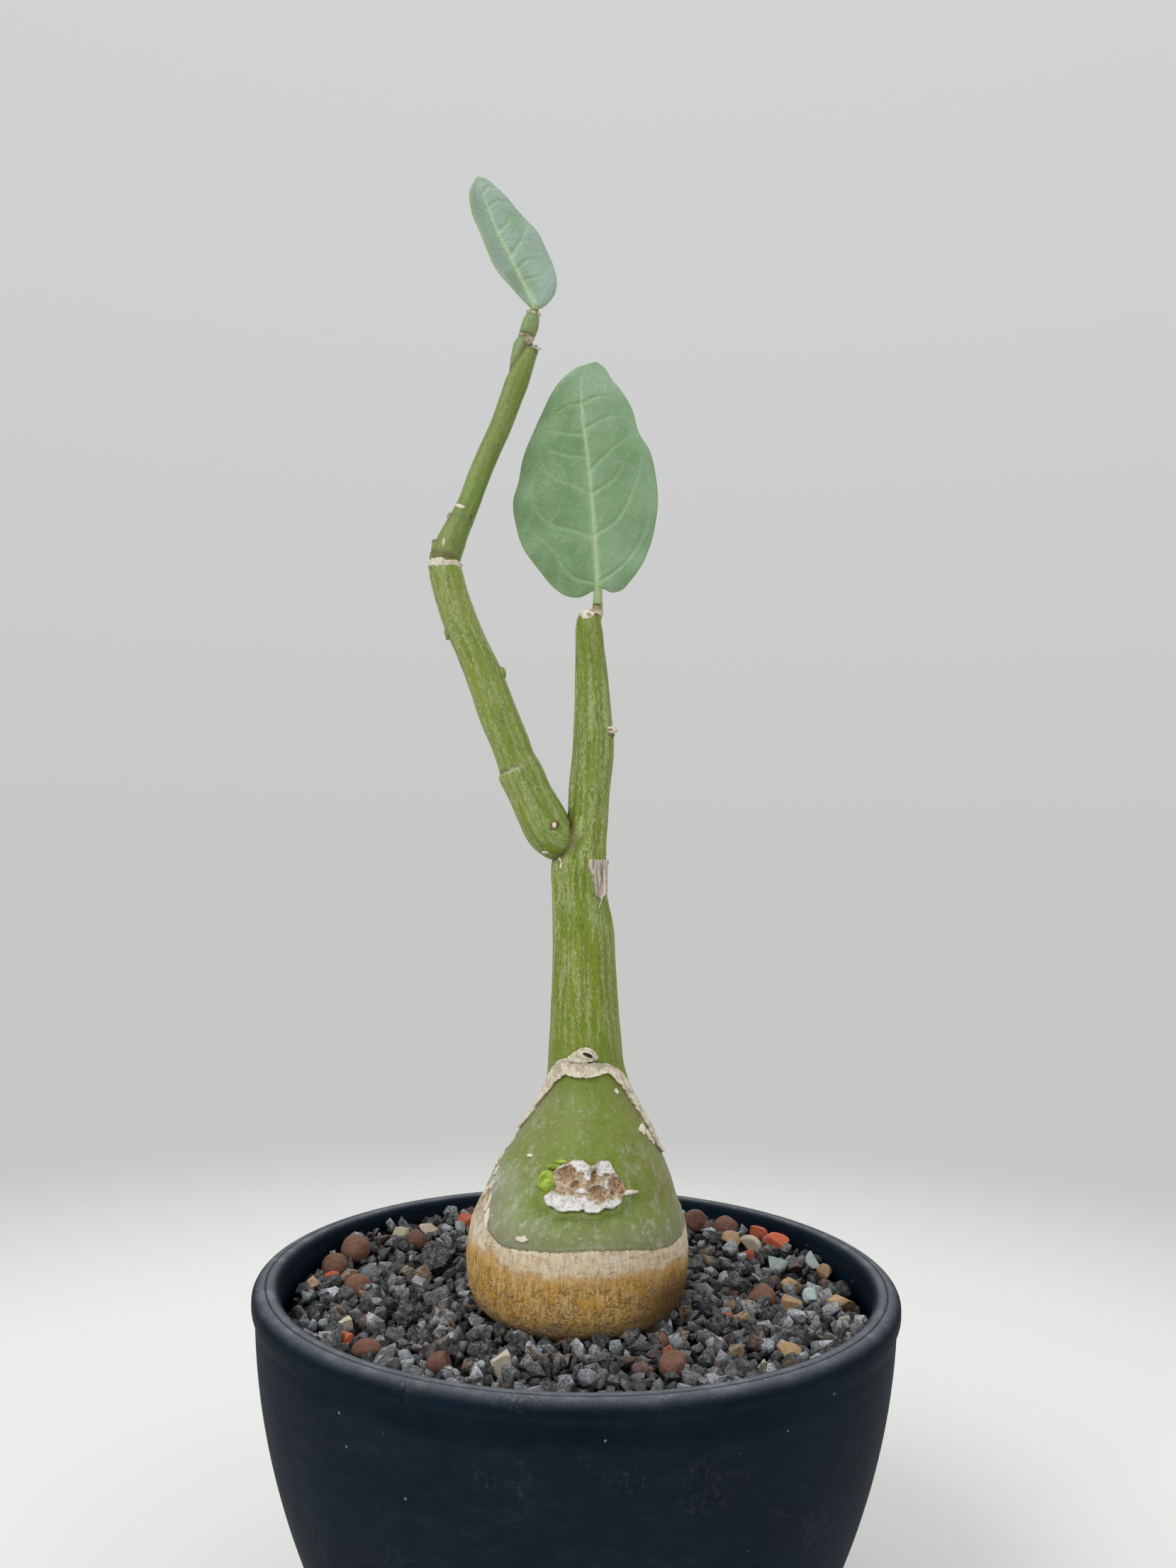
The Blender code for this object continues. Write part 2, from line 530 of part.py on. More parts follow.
def collar(rng):
    """A ring of papery bark, high at the front and back and low at the sides."""
    bm = bmesh.new()
    rings = []
    for i in range(COLLAR_SEGMENTS):
        angle = 2 * math.pi * i / COLLAR_SEGMENTS
        dip = COLLAR_DIP * math.cos(angle) ** COLLAR_DIP_POWER
        middle = COLLAR_HEIGHT - dip + rng.uniform(-COLLAR_WANDER, COLLAR_WANDER)
        low = middle - COLLAR_WIDTH / 2 - rng.uniform(0, COLLAR_WANDER)
        high = middle + COLLAR_WIDTH / 2 + rng.uniform(0, COLLAR_WANDER)
        rings.append([
            on_stem(angle, low, COLLAR_PROUD), on_stem(angle, high, COLLAR_PROUD * 0.8),
            on_stem(angle, high, -MARK_ROOT), on_stem(angle, low, -MARK_ROOT),
        ])
    rows = [[bm.verts.new(point) for point in ring] for ring in rings]
    for i, row in enumerate(rows):
        after = rows[(i + 1) % len(rows)]
        for k in range(4):
            bm.faces.new((row[k], after[k], after[(k + 1) % 4], row[(k + 1) % 4]))
    return bm


def crust(mark, squareness, roughness, rng):
    """A mark raised from the main stem, with its edge sunk into it."""
    degrees, height, half_width, half_height, proud = mark
    middle = math.radians(degrees)
    rings = []
    rise = ((1.0, 0.5 * proud), (0.85, proud), (0.45, 0.75 * proud), (0.15, 0.9 * proud))
    for reach, lift in ((1.0, -MARK_ROOT),) + rise:
        ring = []
        for i in range(CRUST_SIDES):
            turn = 2 * math.pi * i / CRUST_SIDES
            spread = abs(math.cos(turn)) ** squareness + abs(math.sin(turn)) ** squareness
            size = spread ** (-1 / squareness)
            across = half_width * reach * size * math.cos(turn)
            up = half_height * reach * size * math.sin(turn)
            bump = rng.uniform(-roughness, roughness) if lift > 0 else 0.0
            radius = between(main_rows(), height + up, 3)
            ring.append(on_stem(middle + across / radius, height + up, lift + bump))
        rings.append(ring)
    bm = bmesh.new()
    loft(bm, rings)
    return bm


def curl():
    """The loop of loose bark at the collar's front."""
    bm = bmesh.new()
    rings = []
    turn = 2 * math.pi / CURL_SIDES
    for i in range(CURL_STEPS):
        angle = math.radians(CURL_START + CURL_SWEEP * i / (CURL_STEPS - 1))
        out = Vector((math.cos(angle), 0, math.sin(angle)))
        deep = Vector((0, CURL_WIDTH, 0))
        ring = []
        for k in range(CURL_SIDES):
            ring.append(Vector(CURL) + CURL_RADIUS * out
                        + CURL_TUBE * (math.cos(turn * k) * out + math.sin(turn * k) * deep))
        rings.append(ring)
    loft(bm, rings)
    return bm


def knob(x, y, z, wide, deep, high):
    bm = bmesh.new()
    bmesh.ops.create_icosphere(bm, subdivisions=1, radius=1.0)
    for vert in bm.verts:
        vert.co = Vector((x + wide * vert.co.x, y + deep * vert.co.y, z + high * vert.co.z))
    return bm


def tube(stations, sides):
    bm = bmesh.new()
    sweep(bm, stations, sides)
    return bm


def make_stem():
    rng = random.Random(3)
    made = material("stem")
    stem = object_from("caudex_stem", main_stem(), [made])
    parts = [
        tube(LEFT_BRANCH, BRANCH_SIDES), tube(UPPER_SHOOT, BRANCH_SIDES), tube(TOP_TWIG, TWIG_SIDES),
        tube(CUT_STUB, TWIG_SIDES), tube(OLD_STUB, TWIG_SIDES), tube(LEAF_SEAT, TWIG_SIDES), tube(STICK, 5),
        collar(rng), curl(), crust(HEALED_CUT, 2.4, 0.35, rng), crust(BARK_PATCH, 6.0, 0.06, rng),
    ]
    parts += [knob(*sizes) for sizes in KNOBS]
    pieces = [object_from(f"stem_piece_{i}", bm, [made]) for i, bm in enumerate(parts)]
    boolean(stem, pieces, "UNION")


# Leaves

def blade_section(index, leaf):
    """One closed ring round the blade at this row: its front from left to right, and its back again."""
    row = leaf["rows"][index]
    turn = math.radians(leaf["lean"])
    along = Vector((-math.sin(turn), 0, math.cos(turn)))
    side = Vector((math.cos(turn), 0, math.sin(turn)))
    front = []
    back = []
    for i in range(leaf["across"] + 1):
        share = 2 * i / leaf["across"] - 1
        reach = abs(share)
        half_blade = 0 if share < 0 else 1
        distance = row[0] + (row[2 + 2 * half_blade] - row[0]) * reach
        offset = row[1] + (row[3 + 2 * half_blade] - row[1]) * reach
        phase = leaf["wave_phases"][half_blade]
        bend = leaf["folds"][half_blade] * reach * abs(offset - row[1])
        bend += leaf["wave"] * reach * reach * math.sin(leaf["wave_rate"] * distance + phase)
        bend += VEIN_RELIEF * (-1) ** index * math.sin(math.pi * reach)
        middle = Vector(leaf["base"]) + distance * along + offset * side + Vector((0, bend, 0))
        rib = max(0.0, 1 - reach / MIDRIB_SHARE) * (1 - index / len(leaf["rows"]))
        half = (BLADE_THICKNESS + (MIDRIB_THICKNESS - BLADE_THICKNESS) * rib) / 2
        front.append(middle - Vector((0, half, 0)))
        back.append(middle + Vector((0, half, 0)))
    return front + back[::-1]


def stalk_section(station, across):
    """A round ring with as many points as the blade's."""
    x, y, z, radius = station
    count = 2 * (across + 1)
    ring = []
    for i in range(count):
        angle = math.pi + 2 * math.pi * (i + 0.5) / count
        ring.append(Vector((x + radius * math.cos(angle), y + radius * math.sin(angle), z)))
    return ring


def make_leaf(name, leaf):
    across = leaf["across"]
    rings = [stalk_section(station, across) for station in leaf["stalk"]]
    rings += [blade_section(i, leaf) for i in range(len(leaf["rows"]))]
    bm = bmesh.new()
    loft(bm, rings, across + 1)
    object_from(name, bm, [material("leaf")], 60.0)


def main():
    clear_scene()
    make_pot()
    make_substrate()
    make_stem()
    make_leaf("leaf_right", RIGHT_LEAF)
    make_leaf("leaf_left", LEFT_LEAF)


main()
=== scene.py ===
"""Looks of the potted adenia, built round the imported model.

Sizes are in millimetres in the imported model's frame, and become metres when a piece is made.
A turn is an angle round the main stem in degrees, where 0 faces the front and 90 the right.
"""

import math
import random

import bmesh
import bpy
import numpy as np
from mathutils import Matrix, Quaternion, Vector, noise


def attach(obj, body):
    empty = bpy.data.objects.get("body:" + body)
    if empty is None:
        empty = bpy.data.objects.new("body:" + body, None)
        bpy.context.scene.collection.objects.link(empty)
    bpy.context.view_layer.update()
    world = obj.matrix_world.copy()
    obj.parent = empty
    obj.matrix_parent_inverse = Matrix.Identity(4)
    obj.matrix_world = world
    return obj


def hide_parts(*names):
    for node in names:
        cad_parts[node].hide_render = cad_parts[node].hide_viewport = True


MM = 0.001
FRONT = -90.0

# Pot. A depth is measured down from the rim.
POT_HEIGHT = 95.0
LIP_RADIUS = 75.0
LIP_INNER_RADIUS = 68.7
LIP_ROUND = 2.2
WALL_RADIUS = 74.2
WALL_CURVE = 0.0036
WALL_THICKNESS = 3.0
FOOT_RADIUS = 40.5
FLOOR_THICKNESS = 3.0
FLOOR_RADIUS = 38.0
POT_SIDES = 160
# The groove along the lip: how far out from its inner radius, the depth, and the dust and painted sheen.
LIP_GROOVE = ((2.95, 0.0, 1.0), (3.18, 0.16, 0.35), (3.42, 0.20, 0.3), (3.65, 0.05, 0.9))
# Below the lip: how far in from its outer radius, the depth, and the dust and painted sheen.
LIP_UNDERSIDE = ((0.0, 3.2, 0.04), (0.03, 3.9, 0.03), (0.16, 4.6, 0.02), (0.42, 5.4, 0.02), (0.72, 6.2, 0.02))
# The foot's rounding: how far out from its radius, and the height.
FOOT_ROUND = ((4.6, 4.9), (3.6, 3.1), (2.5, 1.6), (1.4, 0.6), (0.6, 0.12), (0.0, 0.0), (-1.2, 0.0))
DRAIN_CIRCLE = 26.0
DRAIN_RADIUS = 4.0
PIECE_GAP = 0.3

# Main stem, from the root's tip to the right branch's top: height, centre x, centre y and radius.
MAIN = (
    (50, 0, 0, 1.4), (65, 0, 0, 3.6), (75, 0, 0, 5.6), (79, 0, 0, 9.6), (81.5, 0, 0, 14.6),
    (84.3, 0, 0, 19.3), (87, 0, 0, 22.7), (90, 0, 0, 24.7), (94, 0, 0, 25.8), (98.5, 0, 0, 26.1),
    (103, 0.1, 0, 25.8), (108, 0.2, 0, 24.9), (113.5, 0.6, 0, 22.6), (117, 0.8, 0, 21.3),
    (121, 0.9, 0, 19.4), (124.5, 1.3, 0, 17.3), (128.5, 1.8, 0, 15.2), (133, 2.0, 0, 12.6),
    (138, 1.8, 0, 10.3), (142.5, 1.3, 0, 9.2), (149.5, 1.0, 0, 8.5), (158, 0.6, 0.2, 8.0),
    (167, 0.3, 0.2, 7.7), (176, -0.1, 0.1, 7.4), (183.5, -1.1, 0, 6.8), (191.5, -1.3, 0, 6.7),
    (197, -0.5, 0.2, 5.9), (202, 0.5, 0.5, 5.1), (208.7, 0.9, 0.8, 5.0), (220, 1.7, 1.1, 4.9),
    (228.2, 1.4, 1.3, 4.5), (234.2, 1.1, 1.5, 4.1), (245.3, 0.3, 1.6, 3.5), (250.5, 0.0, 1.6, 3.1),
    (252.8, 0.0, 1.6, 2.5), (254.0, 0.2, 1.6, 1.5),
)
MAIN_SIDES = 180
TRUNK_BASE = 140.0
TRUNK_TOP = 246.0
FLUTES = 8
FLUTE_DEPTH = 0.22
FLUTE_FADE = 10.0
FLUTE_TWIST = 0.05

# Side stems: x, y, z and radius along each.
LEFT_BRANCH = (
    (-2.5, -0.6, 196.0, 3.8), (-5.6, -1.2, 196.4, 5.1), (-8.4, -1.6, 198.6, 5.7),
    (-10.5, -2.0, 202.1, 5.7), (-13.2, -2.5, 207.2, 5.3), (-16.2, -2.9, 214.0, 5.0),
    (-16.6, -3.0, 214.9, 4.8), (-18.8, -3.3, 220.4, 4.7), (-22.0, -3.7, 227.8, 4.7),
    (-25.1, -4.0, 235.9, 4.5), (-28.3, -4.2, 243.0, 4.2), (-31.4, -4.4, 249.6, 4.2),
    (-34.2, -4.2, 257.6, 4.1), (-35.4, -4.0, 262.3, 4.0), (-35.8, -4.0, 264.6, 3.5),
    (-35.8, -4.0, 265.6, 2.2),
)
UPPER_SHOOT = (
    (-35.7, -4.0, 262.5, 3.0), (-35.5, -4.0, 265.2, 3.8), (-35.0, -3.9, 266.5, 3.6),
    (-34.4, -3.8, 268.6, 3.6), (-33.1, -3.5, 272.2, 3.25), (-30.7, -3.2, 277.8, 2.8),
    (-27.7, -2.4, 287.0, 2.75), (-25.4, -1.8, 293.2, 2.7), (-22.7, -1.2, 300.1, 2.7),
    (-20.3, -0.8, 307.5, 2.85), (-18.9, -0.8, 311.6, 2.85), (-17.4, -0.9, 315.0, 2.35),
    (-16.2, -1.0, 317.8, 1.85), (-15.5, -1.0, 319.5, 1.65),
)
TOP_TWIG = (
    (-19.6, 0.4, 310.5, 1.9), (-19.2, 0.7, 313.6, 2.2), (-18.6, 0.8, 316.2, 2.5),
    (-18.2, 0.7, 318.8, 2.5), (-17.6, 0.5, 321.6, 2.4), (-17.2, 0.5, 323.2, 1.8),
    (-16.8, 0.6, 324.3, 2.1), (-16.2, 0.6, 326.4, 2.2), (-15.8, 0.7, 328.3, 1.9),
    (-15.4, 0.7, 330.1, 1.3),
)
OLD_STUB = ((-36.6, -4.0, 263.0, 2.0), (-37.3, -4.0, 267.0, 1.7), (-37.5, -4.0, 269.6, 1.3))
LEAF_SEAT = ((1.5, 1.5, 251.5, 1.5), (2.0, 1.5, 254.3, 1.4), (2.1, 1.5, 255.2, 1.2))
STICK = (
    (8.6, -18.9, 117.1, 0.55), (10.2, -19.4, 117.4, 0.62), (12.0, -18.9, 117.5, 0.55),
    (13.4, -18.2, 117.5, 0.25),
)

# The bare green window in the caudex's cork: turn and height round its edge.
WINDOW = (
    (-75, 113.9), (-68, 112.0), (-60, 109.8), (-54, 107.4), (-43, 105.4), (-31, 105.4), (-15, 105.8),
    (6, 106.5), (27, 106.1), (41, 105.1), (55, 104.9), (69, 105.5), (82, 106.9), (92, 108.0),
    (101, 111.5), (105, 116), (100, 121), (92, 123), (82, 127), (77, 130.6), (70, 134.6), (60, 138.8),
    (47, 141.4), (35, 142.8), (20, 143), (0, 142.6), (-20, 143), (-40, 142.3), (-58, 139.4), (-74, 136),
    (-84, 131), (-90, 126), (-95, 120), (-92, 115.5),
)
# Papery bark round the neck: turn, height and width of the strip along its middle line.
COLLAR = (
    (0, 142.9, 3.7), (12, 142.9, 3.2), (24, 143.2, 2.5), (34, 143.1, 1.9), (45, 141.9, 2.6),
    (58, 139.6, 3.2), (68, 135.6, 3.0), (75, 131.6, 3.0), (80, 127.6, 4.0), (90, 123.8, 2.4),
    (101, 122.8, 1.6), (115, 127, 2.2), (130, 134, 2.6), (155, 141, 3.0), (180, 143.5, 3.2),
    (205, 142, 3.0), (230, 137, 2.6), (255, 131, 2.2), (270, 128.4, 1.6), (277, 130.8, 1.5),
    (282, 134.4, 1.8), (290, 137.0, 2.4), (299, 139.2, 2.8), (312, 141.6, 3.0), (325, 143.2, 3.2),
    (340, 143.3, 3.8), (352, 142.9, 3.8), (360, 142.9, 3.7),
)
# The folded flap of bark above the collar's front: its hole's middle, the hole, and the outline round it.
CURL_MIDDLE = (1.6, -10.9, 146.4)
CURL_HOLE = (1.35, 0.55, -0.35)  # half width, half height and tilt
CURL_OUTLINE = (
    (2.5, -0.5), (1.9, 0.5), (1.0, 1.3), (-0.2, 1.75), (-1.4, 1.6), (-2.6, 0.9), (-3.9, 0.0),
    (-4.9, -0.9), (-4.6, -1.6), (-3.2, -1.8), (-1.4, -1.75), (0.2, -1.5), (1.5, -1.2), (2.3, -0.9),
)
# The flap's rings from its hole outwards: share of the way out, how far back, tone and shade.
CURL_RINGS = (
    (-0.25, 1.6, 0.0, 0.9), (-0.04, 0.5, 0.2, 0.35), (0.0, 0.1, 1.0, 0.0), (0.06, 0.0, 1.0, 0.0),
    (0.13, 0.1, 0.7, 0.0), (0.3, 0.3, 0.1, 0.0), (0.5, 0.35, 0.0, 0.0), (0.7, 0.3, 0.0, 0.0),
    (0.86, 0.35, 0.1, 0.0), (0.96, 0.6, 0.4, 0.0), (1.0, 0.9, 0.3, 0.0), (0.94, 1.5, 0.0, 0.3),
    (0.8, 2.6, 0.0, 0.5),
)
HEALED_CUT = (2.3, 119.1, 20.4)  # turn, height and the stem's radius there
# The healed cut's outline, from its middle: across and up.
CUT_OUTLINE = (
    (-9.2, -2.9), (-8.3, -4.1), (-6.6, -4.7), (-4.6, -5.4), (-2.9, -5.1), (-0.5, -4.9), (1.1, -5.6),
    (2.5, -5.6), (4.2, -4.6), (6.0, -4.8), (7.7, -3.6), (8.6, -2.4), (9.3, -1.0), (9.2, 0.5), (8.1, 1.9),
    (7.3, 2.7), (7.0, 3.6), (5.9, 5.0), (4.3, 5.3), (2.6, 5.2), (1.7, 4.3), (0.4, 4.5), (-0.5, 5.0),
    (-2.2, 5.4), (-3.7, 5.4), (-5.3, 4.7), (-6.9, 4.0), (-8.5, 3.0), (-8.9, 1.9), (-8.1, 1.3),
    (-7.7, 0.2), (-7.9, -1.2), (-9.0, -2.2),
)
# Pits in it: across, up, half width, half height and depth.
PITS = (
    (-4.7, 2.3, 1.9, 1.7, 0.9), (-2.3, 0.2, 1.0, 0.9, 0.5), (1.8, 1.8, 0.75, 1.4, 0.9),
    (2.5, -1.2, 1.5, 1.2, 0.8), (6.8, -0.1, 1.7, 1.8, 0.45), (1.1, 4.9, 1.0, 0.9, 0.9),
    (6.9, 1.2, 0.45, 0.45, 0.5), (5.9, -1.6, 0.8, 0.35, 0.5), (-6.9, -0.4, 0.6, 0.9, 0.4),
    (4.6, 2.2, 0.9, 0.3, 0.4),
)
# Upper edge of the white crust along its foot, and the other white spots: across, up, half width and
# half height.
CRUST_EDGE = (
    (-9.4, -1.5), (-7.1, -1.3), (-4.9, -1.8), (-2.9, -2.1), (-0.5, -1.8), (0.6, -2.7), (2.5, -3.4),
    (3.6, -3.1), (6.5, -2.7), (9.4, -2.0),
)
CRUST_SPOTS = (
    (-2.3, 4.6, 1.5, 0.9), (-0.9, 3.6, 1.4, 0.9), (0.4, 2.5, 0.8, 1.1), (4.4, 3.5, 2.6, 1.5),
    (-6.2, 3.9, 1.4, 0.5), (-1.0, -0.9, 1.0, 0.5), (4.6, 0.2, 0.6, 0.9),
)
# Loose flakes on the skin: turn, height, half width, half height, tilt, kind and how proud.
FLAKES = (
    (59, 129.3, 1.3, 0.9, 25, "white", 0.35), (66, 127.6, 0.9, 1.5, 35, "bark", 0.35),
    (73, 126.0, 0.9, 0.8, 10, "white", 0.3), (-86, 120.3, 0.7, 1.6, 10, "bark", 0.5),
    (-76, 118.3, 0.7, 1.1, -10, "bark", 0.4), (-72, 115.6, 0.6, 1.2, -20, "bark", 0.4),
    (-79, 113.4, 0.8, 1.5, 0, "bark", 0.4), (-88, 124.2, 0.5, 1.3, 15, "bark", 0.4),
    (-60, 109.6, 2.3, 0.45, -52, "white", 0.45), (-66, 111.9, 1.9, 0.4, -70, "white", 0.4),
    (-30, 107.6, 1.4, 0.62, 5, "white", 0.4), (-45, 123.8, 0.9, 0.35, 5, "bark", 0.3),
    (40, 137.9, 0.5, 0.6, 0, "white", 0.35), (-47, 191.9, 0.35, 0.8, 55, "pale", 0.07),
    (-41, 190.6, 0.36, 0.9, -6, "pale", 0.09),
)
# Old fibrous bark on the trunk: turn, height and width along its middle line. Its thread is a thin stem.
BARK_PATCH = (
    (46.0, 192.1, 6.2), (46.0, 190.2, 6.0), (48.0, 188.2, 4.7), (49.0, 185.8, 4.2), (45.0, 184.0, 3.0),
    (41.0, 183.0, 1.6),
)
BARK_THREAD = (
    (4.3, -5.5, 184.0, 0.12), (4.3, -6.0, 182.8, 0.11), (4.0, -6.1, 181.6, 0.10),
    (3.5, -6.2, 180.3, 0.06),
)
# Torn rings of dry leaf base: name, centre, way up the stem, radius, width, tone, seed, tear, lift and shade.
PAPER_RINGS = (
    ("node_paper", (-35.5, -4.0, 263.4), (0.05, 0.0, 1.0), 3.95, 1.35, 0.55, 31, 1.0, 0.28, 0.0),
    ("node_twig", (-17.2, 0.5, 323.2), (0.35, 0.0, 1.0), 1.85, 0.7, 0.0, 33, 0.8, 0.12, 0.65),
    ("node_leaf_left", (-15.5, 0.7, 329.4), (0.25, 0.0, 1.0), 1.55, 0.9, 0.2, 34, 0.6, 0.25, 0.45),
    ("node_leaf_right", (1.6, 1.5, 253.4), (0.2, 0.0, 1.0), 1.75, 1.0, 0.45, 35, 0.6, 0.2, 0.3),
)
# Scars, scales and stubs: name, centre, half sizes, tone, shade, seed, roughness and spin.
SCARS = (
    ("scar_shoot", (-31.8, -5.85, 277.6), (1.35, 0.35, 0.52), 1.0, 0.0, 36, 0.3, 18.0),
    ("scar_shoot_dark", (-29.5, -4.9, 275.6), (0.45, 0.7, 1.0), 0.0, 0.9, 37, 0.25, 0.0),
    ("scar_shoot_side", (-34.5, -4.6, 275.6), (0.8, 0.9, 0.9), 0.3, 0.45, 38, 0.3, 0.0),
    ("scale_twig", (-14.8, 0.2, 325.6), (0.6, 0.8, 0.9), 0.0, 0.75, 39, 0.3, 0.0),
    ("scale_twig_low", (-16.4, -1.5, 321.7), (1.1, 0.45, 1.2), 0.1, 0.5, 40, 0.3, 0.0),
    ("scar_leaf_right", (-0.4, -0.9, 252.4), (1.5, 0.6, 1.3), 0.9, 0.0, 41, 0.34, 0.0),
    ("scar_leaf_dark", (-0.1, -1.38, 252.3), (0.75, 0.25, 0.45), 0.1, 0.35, 25, 0.3, 30.0),
    ("tip_stub", (-15.3, -1.0, 319.5), (1.75, 1.6, 0.5), 0.8, 0.0, 42, 0.3, 0.0),
    ("tip_stub_dark", (-14.6, -1.9, 319.9), (0.6, 0.6, 0.35), 0.0, 0.6, 24, 0.3, 0.0),
    ("scar_eye_rim", (-7.5, -7.0, 200.0), (1.55, 0.72, 0.95), 0.0, 0.9, 43, 0.1, -35.0),
    ("scar_eye", (-7.35, -7.6, 200.05), (0.50, 0.35, 0.68), 1.0, 0.0, 44, 0.1, 0.0),
    ("flake_fork", (-9.0, -4.4, 193.7), (1.2, 0.6, 0.4), 0.6, 0.1, 46, 0.3, 0.0),
    ("flake_fork_dark", (-10.3, -3.9, 193.9), (0.6, 0.6, 0.35), 0.0, 0.8, 47, 0.3, 0.0),
    ("scar_stub_scale", (5.9, -1.3, 223.9), (1.5, 1.1, 0.85), 0.55, 0.0, 48, 0.3, 0.0),
    ("scar_stub_dark", (5.6, -2.1, 223.9), (0.75, 0.5, 0.35), 0.0, 0.7, 49, 0.3, 0.0),
    ("scar_elbow", (-35.4, -7.05, 268.2), (0.65, 0.3, 1.3), 0.4, 0.0, 45, 0.2, 8.0),
)
# Small knobs on the stems, and fresh buds in the window: centre and half sizes.
KNOBS = (
    (5.6, -0.3, 222.8, 1.2, 1.5, 1.1), (4.6, 0.2, 217.8, 1.5, 2.0, 5.2),
    (-21.1, -4.2, 236.7, 1.2, 1.6, 2.0), (-34.3, -4.4, 247.0, 0.9, 1.4, 2.2),
)
BUDS = (
    (-7.0, -19.1, 120.7, 1.7, 1.0, 1.5), (-6.7, -19.7, 118.8, 1.8, 1.0, 1.8),
    (-7.9, -18.9, 119.4, 1.5, 0.8, 1.9), (-7.3, -19.4, 116.9, 1.3, 0.7, 1.0),
    (-5.6, -18.5, 122.8, 1.9, 0.6, 0.7), (-4.2, -18.4, 123.8, 1.6, 0.5, 0.5),
)

# Leaves. A row holds the distance along and across for the midrib, the left and the right margin.
RIGHT_LEAF = {
    "rows": (
        (0.0, 0.0, -1.3, -2.3, -0.1, 1.8), (1.2, -0.1, -2.2, -4.5, -0.8, 3.5),
        (2.7, -0.2, -1.9, -7.2, -0.2, 5.8), (5.2, -0.4, 0.0, -10.4, 2.1, 8.1),
        (8.7, -0.6, 5.0, -14.9, 5.9, 10.8), (13.2, -1.0, 10.1, -18.7, 11.5, 13.0),
        (18.7, -1.5, 16.9, -21.0, 17.2, 14.3), (24.2, -2.0, 22.2, -21.7, 22.9, 14.8),
        (29.5, -2.6, 27.4, -20.5, 28.6, 14.4), (34.7, -3.3, 33.2, -19.6, 34.9, 12.8),
        (40.0, -4.1, 40.0, -16.9, 40.5, 9.8), (45.2, -4.8, 45.4, -14.9, 46.3, 8.0),
        (50.0, -5.1, 50.6, -12.2, 50.9, 5.0), (53.7, -5.0, 54.1, -9.2, 54.3, 2.4),
        (56.2, -4.0, 56.2, -6.6, 57.0, 0.9), (57.6, -2.2, 57.4, -3.2, 57.9, -0.6),
    ),
    "base": (2.0, 1.2, 259.6), "lean": 0.0, "folds": (0.16, 0.11), "wave": 0.8, "wave_rate": 0.42,
    "stalk": ((2.1, 1.5, 255.5, 1.3), (2.1, 1.3, 257.6, 1.15), (2.0, 1.2, 260.6, 1.0)),
    "veins": (
        ((1.2, -0.2), (4.9, 4.9), (9.4, 8.8), (15.9, 11.9), (20.5, 13.0)),
        ((13.2, -1.0), (18.2, 5.1), (24.8, 8.2), (29.7, 9.7), (34.0, 10.4)),
        ((23.8, -2.0), (26.7, 2.2), (29.2, 4.5), (32.5, 6.0)),
        ((29.6, -2.6), (33.6, 1.2), (36.5, 4.0), (39.0, 7.5), (39.9, 9.5)),
        ((40.2, -4.1), (42.6, -0.5), (44.1, 3.1), (44.3, 6.6)), ((47.0, -4.9), (48.6, -1.6), (49.0, 2.2)),
        ((1.2, -0.2), (2.3, -5.4), (5.1, -8.6), (9.9, -11.5), (13.4, -15.5)),
        ((12.8, -0.9), (14.4, -6.4), (16.7, -12.8), (20.3, -16.0), (24.3, -17.3), (28.0, -16.6)),
        ((23.6, -1.9), (26.1, -6.6), (27.7, -11.4), (30.5, -13.9), (34.0, -15.2)),
        ((33.2, -3.1), (33.6, -8.0), (35.4, -12.6), (38.6, -15.0)),
        ((39.0, -3.9), (39.1, -8.4), (40.0, -13.4)), ((46.8, -4.9), (46.5, -7.8), (44.6, -11.2)),
    ),
    "colours": ((0.215, 0.358, 0.195), (0.133, 0.255, 0.090), (0.310, 0.460, 0.312)),
}
